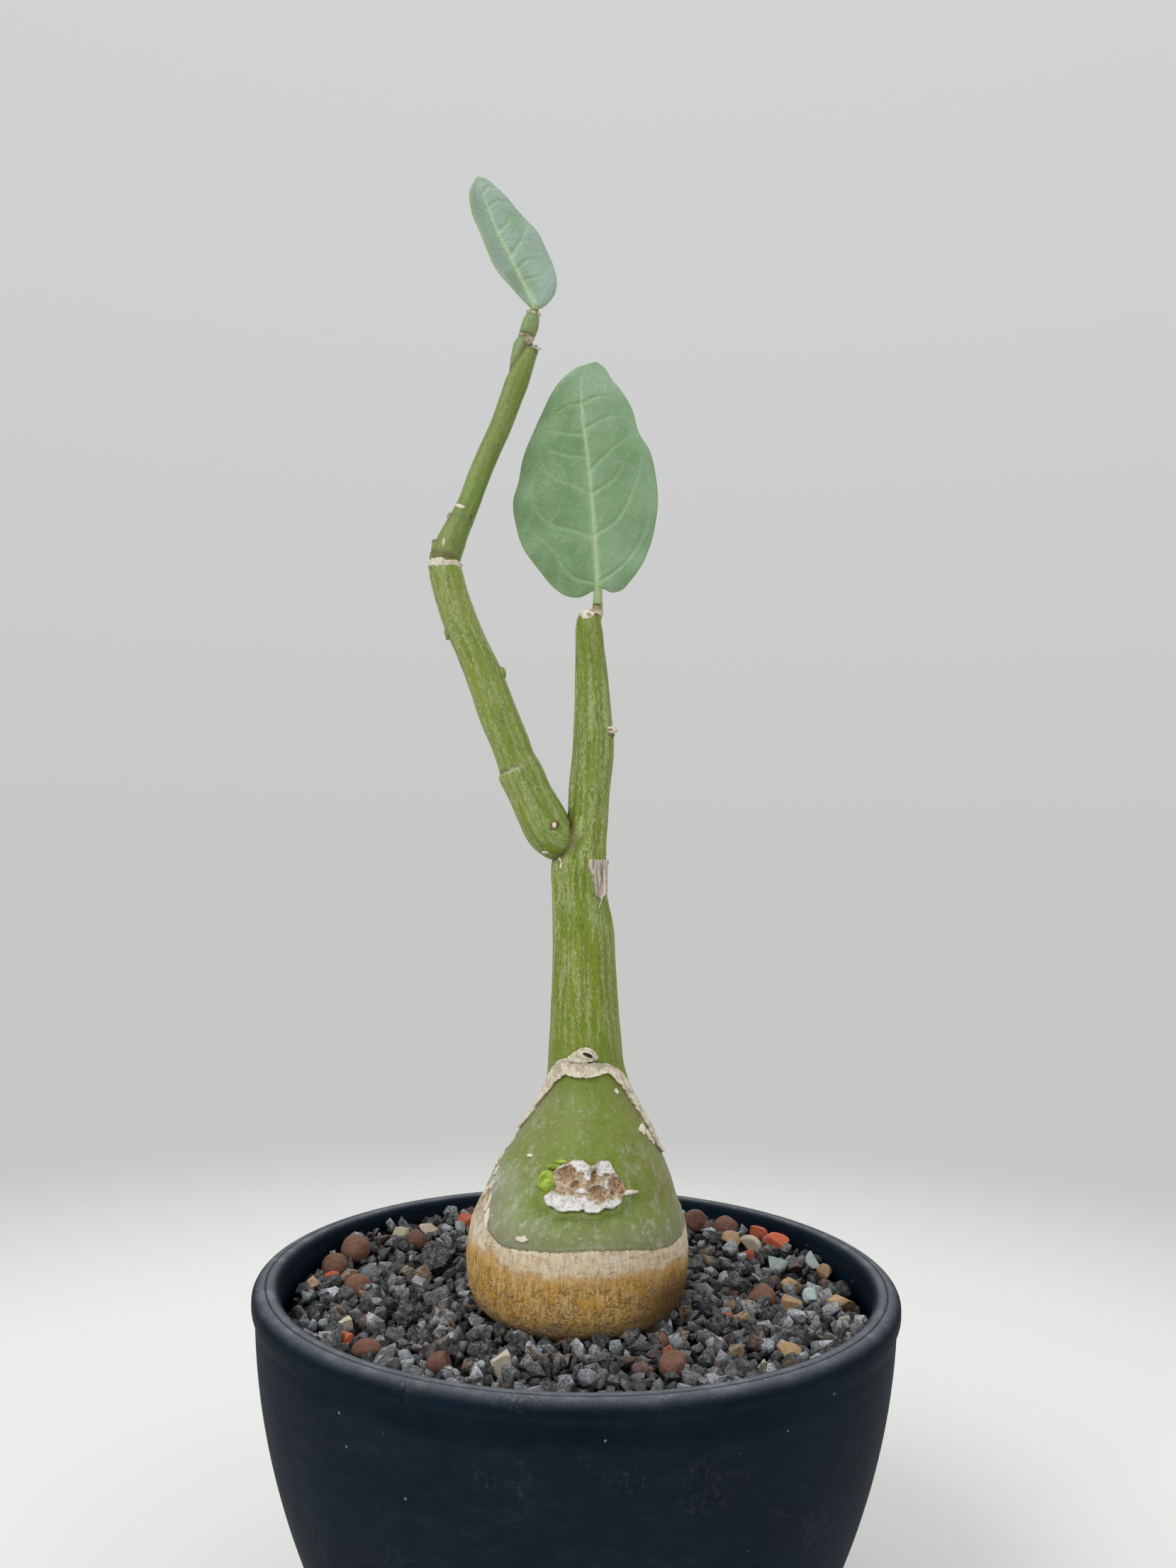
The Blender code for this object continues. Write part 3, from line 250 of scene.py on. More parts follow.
LEFT_LEAF = {
    "rows": (
        (0.3, 0.0, -0.2, -1.0, -0.8, 1.1), (1.5, 0.0, 1.2, -1.6, -0.4, 2.9),
        (3.0, -0.1, 3.2, -2.4, 0.9, 5.5), (5.0, -0.1, 5.8, -3.5, 2.8, 7.1),
        (7.5, -0.2, 8.6, -4.5, 5.4, 8.2), (11.0, -0.3, 12.2, -5.3, 9.5, 8.9),
        (15.0, -0.4, 16.2, -5.4, 13.6, 8.9), (19.0, -0.6, 20.2, -5.3, 18.0, 8.7),
        (23.0, -0.7, 24.2, -5.1, 21.8, 7.7), (27.0, -0.5, 28.0, -4.9, 26.0, 6.4),
        (30.5, -0.3, 31.2, -4.2, 30.2, 5.0), (33.6, 0.0, 34.0, -2.9, 33.8, 3.7),
        (35.7, 0.2, 35.8, -1.4, 36.1, 2.5), (36.9, 0.4, 36.8, -0.2, 37.0, 1.2),
    ),
    "base": (-15.0, 0.7, 331.2), "lean": 25.3, "folds": (-0.45, 0.09), "wave": 0.4, "wave_rate": 0.5,
    "stalk": ((-15.2, 0.7, 330.4, 1.1), (-15.1, 0.7, 331.1, 1.0), (-15.2, 0.7, 332.0, 0.8)),
    "veins": (
        ((7.6, -0.1), (6.9, 3.5), (7.2, 6.7)), ((14.6, -0.3), (16.8, 3.9), (16.2, 6.1), (14.0, 7.9)),
        ((15.0, -0.4), (16.6, 2.6), (18.4, 5.0), (20.4, 7.0)),
        ((22.0, -0.6), (22.8, 2.2), (24.2, 3.9), (23.2, 6.6)), ((28.6, -0.4), (29.3, 2.8), (27.6, 4.8)),
        ((32.6, -0.1), (33.4, 1.8), (32.4, 3.2)), ((4.2, -0.1), (7.6, -1.9), (12.7, -3.2)),
        ((12.6, -0.3), (17.2, -2.3), (21.9, -3.5)), ((20.0, -0.6), (22.7, -2.4), (27.3, -3.3)),
        ((27.6, -0.5), (30.0, -2.1), (32.4, -2.3)), ((11.0, -0.3), (12.0, 3.6), (10.6, 6.6)),
    ),
    "colours": ((0.310, 0.425, 0.350), (0.245, 0.345, 0.285), (0.395, 0.510, 0.440)),
}
BLADE_THICKNESS = 0.6
MIDRIB_THICKNESS = 1.4
LEAF_COLUMNS = 72
LEAF_STEP = 0.4

# Potting mix.
SOIL_DEPTH = 9.5
SOIL_RISE = 5.5
SOIL_RISE_FROM = 2.0
SOIL_RISE_TO = 38.0
SOIL_RISE_RADIUS = 68.0
# The hole for the caudex, as radius and height, and the depths of the rings down the pot's inside.
MIX_HOLE = ((0.5, 47.0), (1.7, 49.4), (3.9, 65.0), (5.9, 75.0), (9.9, 79.0), (14.9, 81.5))
MIX_DEPTHS = (14.0, 25.0, 40.0, 55.0, 69.0, 81.0)
MIX_RADII = (19.6, 67.6)
MIX_DROP = 1.7
# Rare grains: a random draw under the limit gives the colour.
GRAIN_COLOURS = (
    (0.010, (0.50, 0.45, 0.37)), (0.020, (0.45, 0.11, 0.05)), (0.045, (0.32, 0.21, 0.12)),
    (0.055, (0.33, 0.39, 0.39)), (0.100, (0.13, 0.075, 0.055)), (0.160, (0.130, 0.110, 0.090)),
)
GRAIN_SPACING = 3.3
GRAIN_RADII = (20.6, 69.6)
GRAIN_STRETCH = 1.22
TOP_GRAINS = 850
# Larger stones: kind, x, y, half width and half height.
STONES = (
    ("clay", -65.5, 18.5, 3.7, 3.0), ("clay", -58.0, 26.0, 4.2, 3.4), ("clay", -42.5, 35.0, 3.2, 2.8),
    ("brick", -60.5, 13.5, 2.3, 1.8), ("brick", -50.5, -22.5, 1.8, 1.5), ("brick", 45.5, 30.5, 1.9, 1.6),
    ("brick", 51.0, 43.5, 3.0, 2.4), ("brick", 54.0, 35.0, 3.7, 2.4), ("brick", -31.5, 53.0, 3.6, 1.9),
    ("clay", -53.5, 7.5, 3.2, 2.9), ("clay", 33.0, 53.0, 3.6, 3.0), ("clay", 43.0, 50.5, 4.0, 2.7),
    ("clay", 44.5, 7.0, 4.1, 2.8), ("clay", 20.5, -35.5, 3.7, 2.7), ("clay", -28.0, -36.5, 3.0, 2.2),
    ("clay", -45.0, -29.0, 3.2, 1.9), ("clay", 18.5, -21.0, 2.2, 1.8), ("pale", -48.0, 38.0, 2.9, 2.2),
    ("pale", -40.5, 44.0, 3.8, 1.9), ("pale", 46.0, 35.0, 3.4, 2.5), ("blue", 62.0, 24.0, 2.3, 2.5),
    ("tan", 64.5, 19.0, 2.1, 2.3), ("tan", 52.0, 2.0, 3.3, 2.4), ("tan", 53.5, 13.0, 2.6, 2.8),
    ("pale", -15.0, -37.0, 2.7, 3.0), ("tan", 46.0, -27.5, 2.9, 2.1), ("tan", 66.0, 4.0, 3.2, 2.5),
    ("blue", 51.5, 25.0, 3.0, 2.4), ("blue", 58.0, 7.5, 2.7, 2.1), ("blue", -35.0, -36.5, 2.0, 1.5),
    ("tan", 41.5, 40.5, 3.0, 2.0), ("blue", -33.0, 48.5, 2.2, 1.7), ("tan", 30.0, -52.0, 3.0, 2.3),
    ("clay", 3.0, -57.0, 3.4, 2.7), ("pale", -52.0, -16.0, 2.5, 2.1), ("brick", -8.0, 60.0, 2.8, 2.1),
    ("clay", 14.0, 58.5, 3.3, 2.6), ("tan", -20.0, 57.0, 2.6, 2.1), ("grit", -36.0, 24.5, 5.6, 4.4),
    ("grit", -20.0, -30.0, 3.6, 2.8), ("grit", 33.0, -12.0, 3.8, 2.8), ("grit", -38.0, -12.0, 3.8, 3.0),
    ("grit", 30.0, 25.0, 3.8, 2.8), ("grit", -25.0, -55.0, 3.6, 2.8),
)
STONE_LIFT = 0.42
STONE_MARGIN = 1.4
# How many shapes each kind has, how many planes trim them and how uneven they are.
STONE_SHAPES = {
    "clay": (6, 1, 0.04), "grit": (5, 4, 0.30), "brick": (6, 8, 0.05), "blue": (6, 9, 0.03),
    "pale": (6, 5, 0.05), "tan": (6, 5, 0.06),
}
STONE_COLOURS = {
    "clay": (0.165, 0.072, 0.043), "brick": (0.520, 0.105, 0.045), "pale": (0.560, 0.490, 0.370),
    "tan": (0.430, 0.275, 0.140), "blue": (0.400, 0.480, 0.470), "grit": (0.075, 0.076, 0.080),
}

# Room and camera, in metres, degrees and millimetres of lens.
FLOOR_SIZE = 1.0
FLOOR_FADE = (0.24, 0.62)
HORIZON_COLOUR = (0.92, 0.93, 0.91)
ZENITH_COLOUR = (1.10, 1.12, 1.13)
FLOOR_COLOUR = (0.84, 0.84, 0.82)
SKY_STRENGTH = 0.62
LAMP_AIM = (0, 0, 0.15)
# Lamps: name, place, size, power and colour.
LIGHTS = (
    ("key", (-0.75, -0.85, 1.15), 0.7, 10.0, (1.0, 0.99, 0.97)),
    ("fill", (0.95, -0.7, 0.7), 0.9, 1.5, (0.97, 0.98, 1.0)),
    ("back", (0.2, 1.0, 0.9), 0.8, 3.0, (1.0, 1.0, 1.0)),
)
CAMERA_PLACE = (0.0005, -0.300, 0.1893)
CAMERA_TILT = 94.06
CAMERA_ROLL = 1.04
CAMERA_LENS = 28.14
CAMERA_WIDTH = 36.0


# Meshes

def piece(name, points, faces, made, values, smooth=True):
    """A mesh from points in millimetres, riding on the object's one body.

    values holds what the material reads at each point. One number or one colour goes to every point.
    """
    points = np.reshape(points, (-1, 3))
    mesh = bpy.data.meshes.new(name)
    mesh.from_pydata((points * MM).tolist(), [], [list(map(int, face)) for face in faces])
    for key, data in values.items():
        data = np.asarray(data, np.float32)
        width = 1 if data.size in (1, len(points)) else 3
        kind, field = ("FLOAT", "value") if width == 1 else ("FLOAT_VECTOR", "vector")
        mesh.attributes.new(key, kind, "POINT").data.foreach_set(field, np.resize(data, width * len(points)))
    tidy = bmesh.new()
    tidy.from_mesh(mesh)
    bmesh.ops.recalc_face_normals(tidy, faces=tidy.faces)
    tidy.to_mesh(mesh)
    tidy.free()
    if smooth:
        mesh.shade_smooth()
    mesh.materials.append(made)
    obj = bpy.data.objects.new(name, mesh)
    bpy.context.scene.collection.objects.link(obj)
    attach(obj, "root")
    return obj


def tube_faces(rings, sides, closed=False):
    """Quads of a tube, with two end caps unless its last ring joins its first."""
    faces = []
    for i in range(rings if closed else rings - 1):
        a, b = i * sides, (i + 1) % rings * sides
        for k in range(sides):
            j = (k + 1) % sides
            faces.append((a + k, a + j, b + j, b + k))
    if not closed:
        faces += [range(sides)[::-1], range((rings - 1) * sides, rings * sides)]
    return faces


def arrays(bm):
    """Points and faces of a bmesh, which is freed."""
    bm.verts.index_update()
    points = np.array([vert.co[:] for vert in bm.verts])
    faces = np.array([[vert.index for vert in face.verts] for face in bm.faces])
    bm.free()
    return points, faces


def ball(subdivisions):
    bm = bmesh.new()
    bmesh.ops.create_icosphere(bm, subdivisions=subdivisions, radius=1.0)
    return arrays(bm)


def stack(*parts):
    """Points from their coordinates, each an array or one number."""
    return np.stack(np.broadcast_arrays(*parts), -1)


def unit(ways):
    return ways / np.linalg.norm(ways, axis=-1, keepdims=True)


def circle(sides):
    """Angles round a full turn, with their cosines and sines."""
    angles = np.linspace(0, 2 * np.pi, sides, endpoint=False)
    return angles, np.cos(angles), np.sin(angles)


def turned(rows, sides):
    """Rings of points round the upright axis, from rows of radius and height."""
    _, cosines, sines = circle(sides)
    radius, height = np.array(rows, float).T[:2, :, None]
    return stack(radius * cosines, radius * sines, height)


def there_and_back(first, second):
    """Rings that cross on the first side and return on the second."""
    return np.concatenate([first, second[:, ::-1]], axis=1)


def distances(line):
    """How far along a line each of its points lies."""
    return np.append(0, np.cumsum(np.linalg.norm(np.diff(line, axis=0), axis=1)))


def through(at, values, wanted):
    """Smooth values at the wanted distances, through the given values."""
    at = np.asarray(at, float)
    values = np.asarray(values, float)
    slopes = np.gradient(values, at, axis=0)
    i = np.clip(np.searchsorted(at, wanted, side="right") - 1, 0, len(at) - 2)
    span = (at[i + 1] - at[i])[:, None]
    t = (wanted - at[i])[:, None] / span
    t2, t3 = t * t, t * t * t
    return ((2 * t3 - 3 * t2 + 1) * values[i] + (t3 - 2 * t2 + t) * span * slopes[i]
            + (3 * t2 - 2 * t3) * values[i + 1] + (t3 - t2) * span * slopes[i + 1])


def edge_at(outline, angles):
    """An outline's distance from its middle in these directions."""
    across, up = np.array(outline).T
    bearings = np.arctan2(up, across)
    order = np.argsort(bearings)
    return np.interp(angles, bearings[order], np.hypot(across, up)[order], period=2 * np.pi)


def rough(points, scale, seed, octaves=2):
    """Noise at the points, from about -1 to 1."""
    shift = Vector((3.17 * seed, 7.71 * seed, 1.93 * seed))
    rows = np.reshape(points, (-1, 3))
    values = [noise.fractal(Vector(row) * scale + shift, 1.0, 2.0, octaves) for row in rows]
    return np.reshape(values, np.shape(points)[:-1])


def step(low, high, values):
    """A soft step from 0 at low to 1 at high."""
    t = np.clip((values - low) / (high - low), 0, 1)
    return t * t * (3 - 2 * t)


def blend(share, first, second):
    share = np.asarray(share)[..., None]
    return np.asarray(first) * (1 - share) + np.asarray(second) * share


# Materials

class Flow:
    """What comes out of one node of a material. It can be added, multiplied and fed to the next node."""

    def __init__(self, tree, kind, inputs, out=0, **settings):
        made = tree.nodes.new("ShaderNode" + kind)
        for key, value in settings.items():
            setattr(made, key, value)
        for key, value in inputs.items():
            if isinstance(value, Flow):
                tree.links.new(value.socket, made.inputs[key])
            else:
                made.inputs[key].default_value = value
        self.tree = tree
        self.socket = made.outputs[out]

    def then(self, kind, inputs, out=0, **settings):
        return Flow(self.tree, kind, inputs, out, **settings)

    def math(self, operation, *others):
        kind = "VectorMath" if self.socket.type == "VECTOR" else "Math"
        return self.then(kind, dict(enumerate((self, *others))), operation=operation)

    def __add__(self, other):
        return self.math("ADD", other)

    def __mul__(self, other):
        return self.math("MULTIPLY", other)

    def noise(self, scale, detail=3.0, roughness=0.5, distortion=0.0, out=0):
        given = {"Scale": scale, "Detail": detail, "Roughness": roughness, "Distortion": distortion}
        return self.then("TexNoise", {"Vector": self, **given}, out)

    def cells(self, scale, feature="DISTANCE_TO_EDGE"):
        return self.then("TexVoronoi", {"Vector": self, "Scale": scale}, "Distance", feature=feature)

    def ramp(self, low, high):
        """A soft step from 0 at low to 1 at high."""
        return self.then("MapRange", {0: self, 1: low, 2: high}, interpolation_type="SMOOTHSTEP")

    def lines(self, wide, narrow, level=0.5):
        """Thin lines where the value passes a level."""
        return (self + -level).math("ABSOLUTE").ramp(wide, narrow)

    def part(self, axis):
        return self.then("SeparateXYZ", {0: self}, axis)


def mix(share, first, second):
    """A colour that goes from the first to the second by the share."""
    first, second = ((*side, 1.0) if isinstance(side, tuple) else side for side in (first, second))
    return share.then("Mix", {0: share, 6: first, 7: second}, 2, data_type="RGBA")


class Paint:
    """A material. The values come in from the mesh, and finish sets what the surface shows."""

    def __init__(self, name, shine=0.5):
        self.made = bpy.data.materials.new(name)
        self.made.use_nodes = True
        self.tree = self.made.node_tree
        self.shader = self.tree.nodes["Principled BSDF"]
        self.shader.inputs["Specular IOR Level"].default_value = shine

    def vector(self, name):
        return Flow(self.tree, "Attribute", {}, "Vector", attribute_name=name)

    def value(self, name):
        return Flow(self.tree, "Attribute", {}, "Fac", attribute_name=name)

    def finish(self, colour, roughness, relief, strength=1.0):
        """Sets the colour, the roughness and a relief in millimetres."""
        bump = Flow(self.tree, "Bump", {"Strength": strength, "Distance": MM, "Height": relief})
        for key, flow in (("Base Color", colour), ("Roughness", roughness), ("Normal", bump)):
            self.tree.links.new(flow.socket, self.shader.inputs[key])
        return self.made


def green_skin(p, grain, wobble):
    """Waxy green skin with pale cracked streaks: its colour, roughness and relief."""
    streak, bloom = p.value("streak"), p.value("bloom")
    wiggle = wobble + grain.noise(1.0, 1.0, out="Color")
    bands = (wiggle * (1, 1, 0.055)).noise(1.05, 3.0, 0.6).ramp(0.44, 0.57)
    plates = (wobble * (1.7, 1.7, 0.50)).cells(1.9).ramp(0.03, 0.16)
    fine = (grain * (1, 1, 0.28)).noise(2.6, 4.0, 0.65)
    wax = bands * (plates * 0.55 + 0.38) * fine.ramp(0.30, 0.60) * streak
    green = mix(fine.ramp(0.35, 0.70) * 0.25, p.vector("tint"), (0.26, 0.34, 0.08))
    groove = (wobble * (1, 1, 0.035)).noise(0.62, 2.0).ramp(0.52, 0.62)
    green = mix(groove * streak * 0.58, green, (0.25, 0.28, 0.010))
    line = (wiggle * (1, 1, 0.05)).noise(0.85, 3.0, 0.6).lines(0.040, 0.006, 0.47)
    green = mix(line * streak * 0.62, green, (0.070, 0.120, 0.010))
    dots = (grain * (1, 1, 0.5)).noise(1.4, 2.0).ramp(0.60, 0.70)
    green = mix(dots * 0.40, green, (0.08, 0.135, 0.015))
    green = mix(wax * 0.92, green, (0.49, 0.53, 0.26))

    mud = (grain * (1, 1, 0.6)).noise(0.20, 3.0, 0.6).ramp(0.40, 0.62)
    green = mix(bloom * (mud * 0.52), green, (0.27, 0.28, 0.12))
    near = (p.value("cork") + grain.noise(0.12) * 5.0).ramp(-5.5, 2.6) * bloom
    green = mix(near * 0.80, green, (0.205, 0.180, 0.095))
    film = (wobble * (1, 1, 0.60)).noise(0.55, 6.0, 0.70).ramp(0.46, 0.64)
    patch = grain.noise(0.13, 3.0, 0.6).ramp(0.44, 0.60)
    haze = bloom * (film * (patch * 0.60 + 0.16)) + bloom.ramp(0.50, 1.0) * (patch * 0.5 + 0.5) * 0.36
    green = mix(haze, green, (0.50, 0.53, 0.44))
    broken = grain.noise(0.8, 2.0).ramp(0.54, 0.64)
    scratch = (grain * (0.35, 0.35, 1.5)).noise(0.55).lines(0.030, 0.004) * broken * bloom
    green = mix(scratch * 0.70, green, (0.58, 0.60, 0.47))
    specks = (grain * (1, 1, 0.7)).cells(0.42, "F1").ramp(0.085, 0.05)
    green = mix(specks * bloom * 0.70, green, (0.62, 0.62, 0.50))
    return green, (wax + haze) * 0.18 + (mud * 0.08 + 0.42), wax * 0.10 + fine * 0.05


def cork_bark(grain, wobble):
    """Cork from gold below to cream above, brown at the mix, and darker low on the right with painted shadow:
    its colour and relief.
    """
    across, height = grain.part(0), grain.part(2)
    level = height + ((grain * (1, 1, 0.5)).noise(0.16) + -0.5) * 5.5
    level = level + across.ramp(-8.0, -24.0) * -2.5
    level = level + ((grain * (1, 1, 0.8)).noise(0.7, 4.0, 0.6) + -0.5) * 2.0
    fibre = (grain * (1, 1, 0.20)).noise(1.5, 4.0, 0.6)
    cloud = grain.noise(0.14, 3.0, 0.6).ramp(0.40, 0.62)
    cream = mix(fibre.ramp(0.34, 0.64), (0.70, 0.575, 0.40), (0.88, 0.80, 0.62))
    cream = mix(cloud * 0.40, cream, (0.70, 0.50, 0.28))
    dull = mix(fibre.ramp(0.38, 0.62), (0.30, 0.22, 0.13), (0.55, 0.44, 0.29))
    cream = mix(height.ramp(104.5, 111.0) * 0.75, cream, dull)

    gold = mix(fibre.ramp(0.36, 0.64), (0.50, 0.280, 0.066), (0.77, 0.51, 0.19))
    gold = mix(grain.noise(0.22, 3.0, 0.6).ramp(0.45, 0.62) * 0.65, gold, (0.66, 0.33, 0.045))
    worms = grain * (1, 1, 0.58) + grain.noise(0.9, 2.0, out="Color")
    gold = mix(worms.noise(0.85, 3.0, 0.55).ramp(0.53, 0.60) * 0.42, gold, (0.72, 0.54, 0.29))
    ticks = (grain * (1, 1, 0.40)).noise(2.3, 3.0, 0.7).ramp(0.60, 0.70)
    gold = mix(ticks * 0.60, gold, (0.15, 0.08, 0.030))
    pebbles = (worms * (1, 1, 0.95)).cells(1.05)
    furrow = pebbles.ramp(0.20, 0.0) * level.ramp(100.0, 96.5) * grain.noise(0.45, 2.0).ramp(0.38, 0.60)
    gold = mix(furrow * 0.45, gold, (0.27, 0.125, 0.020))
    gold = mix(pebbles.ramp(0.20, 0.45) * 0.30, gold, (0.80, 0.62, 0.34))
    dusty = mix(fibre.ramp(0.36, 0.62), (0.33, 0.25, 0.145), (0.58, 0.46, 0.29))
    gold = mix((height + cloud * 3.0).ramp(93.5, 88.0) * 0.65, gold, dusty)
    gold = mix(height.ramp(88.0, 85.0) * 0.60, gold, (0.10, 0.07, 0.03))
    # Painted shadow: the low right side darkens to near black-brown.
    gold = mix(across.ramp(8.0, 22.0) * height.ramp(103.0, 93.0) * 0.92, gold, (0.125, 0.068, 0.022))

    bark = mix(level.ramp(102.6, 98.2), cream, gold)
    ochre = level.ramp(97.0, 100.2) * level.ramp(101.3, 100.6)
    ochre = ochre * (grain.noise(0.30, 3.0, 0.6).ramp(0.40, 0.60) * 0.7 + 0.3)
    bark = mix(ochre * 0.60, bark, (0.58, 0.29, 0.050))
    growth = (wobble * (0.10, 0.10, 1.0)).noise(1.5, 3.0, 0.6).ramp(0.54, 0.64)
    bark = mix(growth * level.ramp(96.5, 99.5) * 0.40, bark, (0.42, 0.245, 0.085))
    crack = (wobble * (1, 1, 0.16)).noise(0.95).lines(0.018, 0.003) * grain.noise(0.6, 2.0).ramp(0.46, 0.60)
    bark = mix(crack * 0.28, bark, (0.20, 0.12, 0.055))
    return bark, fibre * 0.22 + (crack + furrow) * -0.25


def stem_paint():
    """Green skin, and cork where the cork value is above zero."""
    p = Paint("stem_skin", 0.32)
    grain = p.vector("grain")
    wobble = grain + grain.noise(0.5, 2.0, out="Color")
    green, gloss, smooth_relief = green_skin(p, grain, wobble)
    bark, cork_relief = cork_bark(grain, wobble)
    edge = p.value("cork") + (grain.noise(1.3, 3.0, 0.6) + -0.5)
    cork = edge.ramp(-0.12, 0.12)
    colour = mix(cork, green, bark)
    colour = mix(edge.ramp(-0.55, -0.05) * edge.ramp(0.35, 0.02) * 0.60, colour, (0.085, 0.070, 0.035))
    colour = mix(p.value("shade"), colour, (0.10, 0.055, 0.025))
    roughness = cork.then("Mix", {0: cork, 2: gloss, 3: 0.70})
    return p.finish(colour, roughness, smooth_relief + cork * cork_relief, 0.8)


def bark_paint():
    """Dry papery bark: the tone value runs from grey-tan to pale cream, and shade darkens it."""
    p = Paint("papery_bark", 0.3)
    grain, tone = p.vector("grain"), p.value("tone")
    fibre = (grain * (1, 1, 0.45)).noise(2.0, 4.0, 0.65)
    colour = mix(grain.noise(0.5, 3.0, 0.6).ramp(0.38, 0.56), (0.46, 0.37, 0.265), (0.82, 0.72, 0.57))
    colour = mix(fibre.ramp(0.46, 0.66) * 0.5, colour, (0.80, 0.73, 0.60))
    colour = mix(tone * 0.85, colour, (0.86, 0.79, 0.66))
    wrinkle = grain.noise(0.7, 2.0).lines(0.020, 0.003) * (tone * -0.75 + 1.0)
    broken = grain.noise(0.9, 2.0).ramp(0.48, 0.62)
    colour = mix(wrinkle * broken * 0.45, colour, (0.20, 0.14, 0.08))
    colour = mix(p.value("shade"), colour, (0.13, 0.075, 0.035))
    return p.finish(colour, fibre * 0.2 + 0.66, fibre * 0.25 + wrinkle * -0.1)


def fibre_paint():
    """Old bark of lengthwise fibres."""
    p = Paint("fibrous_bark", 0.3)
    grain = p.vector("grain")
    strand = (grain * (1, 1, 0.07)).noise(1.7, 3.0, 0.6)
    colour = mix(strand.ramp(0.38, 0.62), (0.36, 0.29, 0.22), (0.74, 0.66, 0.56))
    split = (grain * (1, 1, 0.12)).noise(1.7, 2.0).ramp(0.60, 0.68)
    colour = mix(split * 0.55, colour, (0.15, 0.105, 0.07))
    colour = mix(p.value("tone") * 0.5, colour, (0.70, 0.63, 0.54))
    return p.finish(colour, strand * 0.2 + 0.68, strand * 0.4 + split * -0.25)


def crust_paint():
    """Healed tissue: tan and brown, chalky where the white value is high, dark where the deep value is."""
    p = Paint("healed_tissue", 0.25)
    grain = p.vector("grain")
    lumps = grain.noise(1.4, 5.0, 0.7)
    swirl = grain.noise(0.75, 4.0, 0.6, 1.6)
    tan = mix(swirl.ramp(0.38, 0.58), (0.42, 0.28, 0.16), (0.74, 0.62, 0.46))
    white = mix(lumps.ramp(0.33, 0.49), (0.60, 0.50, 0.41), (1.00, 0.98, 0.96))
    brown = mix(swirl.ramp(0.42, 0.56), (0.22, 0.115, 0.055), (0.52, 0.31, 0.17))
    colour = mix(p.value("deep"), mix(p.value("white"), tan, white), brown)
    crack = grain.noise(0.9, 3.0, 0.6).lines(0.022, 0.004) * grain.noise(0.7, 2.0).ramp(0.50, 0.62)
    colour = mix(crack * 0.55, colour, (0.20, 0.12, 0.06))
    return p.finish(colour, lumps * 0.1 + 0.80, lumps * 0.6 + crack * -0.2)


def bud_paint():
    p = Paint("fresh_bud", 0.4)
    cloud = p.vector("grain").noise(0.5, 3.0, 0.6)
    colour = mix(cloud.ramp(0.35, 0.65), (0.21, 0.31, 0.03), (0.43, 0.54, 0.07))
    return p.finish(colour, cloud * 0.2 + 0.40, cloud * 0.2)


def leaf_paint():
    """Waxy blade: tint is its broad colour and vein its ribs. The fine net of veins is drawn here."""
    p = Paint("leaf_skin", 0.45)
    grain = p.vector("grain")
    wobble = grain + grain.noise(0.4, 1.0, out="Color")
    cloud = grain.noise(0.09, 3.0, 0.55).ramp(0.45, 0.60)
    colour = mix(cloud * 0.38, p.vector("tint"), (0.115, 0.255, 0.085))
    islands = wobble.then("TexVoronoi", {"Vector": wobble, "Scale": 0.30}, "Color")
    share = islands.then("SeparateColor", {0: islands}).ramp(0.25, 0.95)
    colour = mix(share * 0.20, colour, (0.32, 0.46, 0.30))
    net = wobble.cells(0.42).ramp(0.055, 0.0) * 0.20 + wobble.cells(1.25).ramp(0.10, 0.0) * 0.10
    colour = mix(net, colour, (0.42, 0.55, 0.31))
    colour = mix(grain.noise(2.6, 2.0).ramp(0.62, 0.72) * 0.22, colour, (0.13, 0.26, 0.10))
    colour = mix(p.value("vein") * 0.75, colour, (0.49, 0.61, 0.36))
    colour = mix(p.value("shade"), colour, (0.33, 0.42, 0.10))
    return p.finish(colour, grain.noise(0.7) * 0.16 + 0.40, net * 0.35 + grain.noise(1.2) * 0.12)


def pot_paint():
    """Black moulded plastic: a pale film of dust and painted sheen on the lip's upward faces, rubbed marks
    and a few pale specks.
    """
    p = Paint("black_plastic", 0.02)
    grain, dust_and_sheen = p.vector("grain"), p.value("dust_and_sheen")
    cloud = grain.noise(0.05, 4.0, 0.6)
    fine = grain.noise(1.8, 4.0, 0.6)
    colour = mix(cloud.ramp(0.40, 0.65) * 0.5, (0.0021, 0.0074, 0.0145), (0.0040, 0.0136, 0.0245))
    smear = (grain * (1, 1, 2.2)).noise(0.16, 5.0, 0.65).ramp(0.44, 0.70)
    # The film is dust and painted sheen, pale on the lip's upward faces.
    film = dust_and_sheen * (smear * 0.32 + (fine * 0.45 + 0.30))
    colour = mix(film, colour, (0.235, 0.250, 0.275))
    scuff = grain.noise(0.07, 2.0).ramp(0.56, 0.66) * grain.noise(0.9, 4.0, 0.75).ramp(0.50, 0.64)
    colour = mix(scuff * (dust_and_sheen + 0.05) * 0.50, colour, (0.30, 0.28, 0.25))
    colour = mix(grain.cells(0.16, "F1").ramp(0.055, 0.035) * 0.35, colour, (0.50, 0.50, 0.48))
    return p.finish(colour, film * 0.20 + cloud * 0.10 + 0.50, grain.noise(0.45) * 0.10 + fine * 0.03)


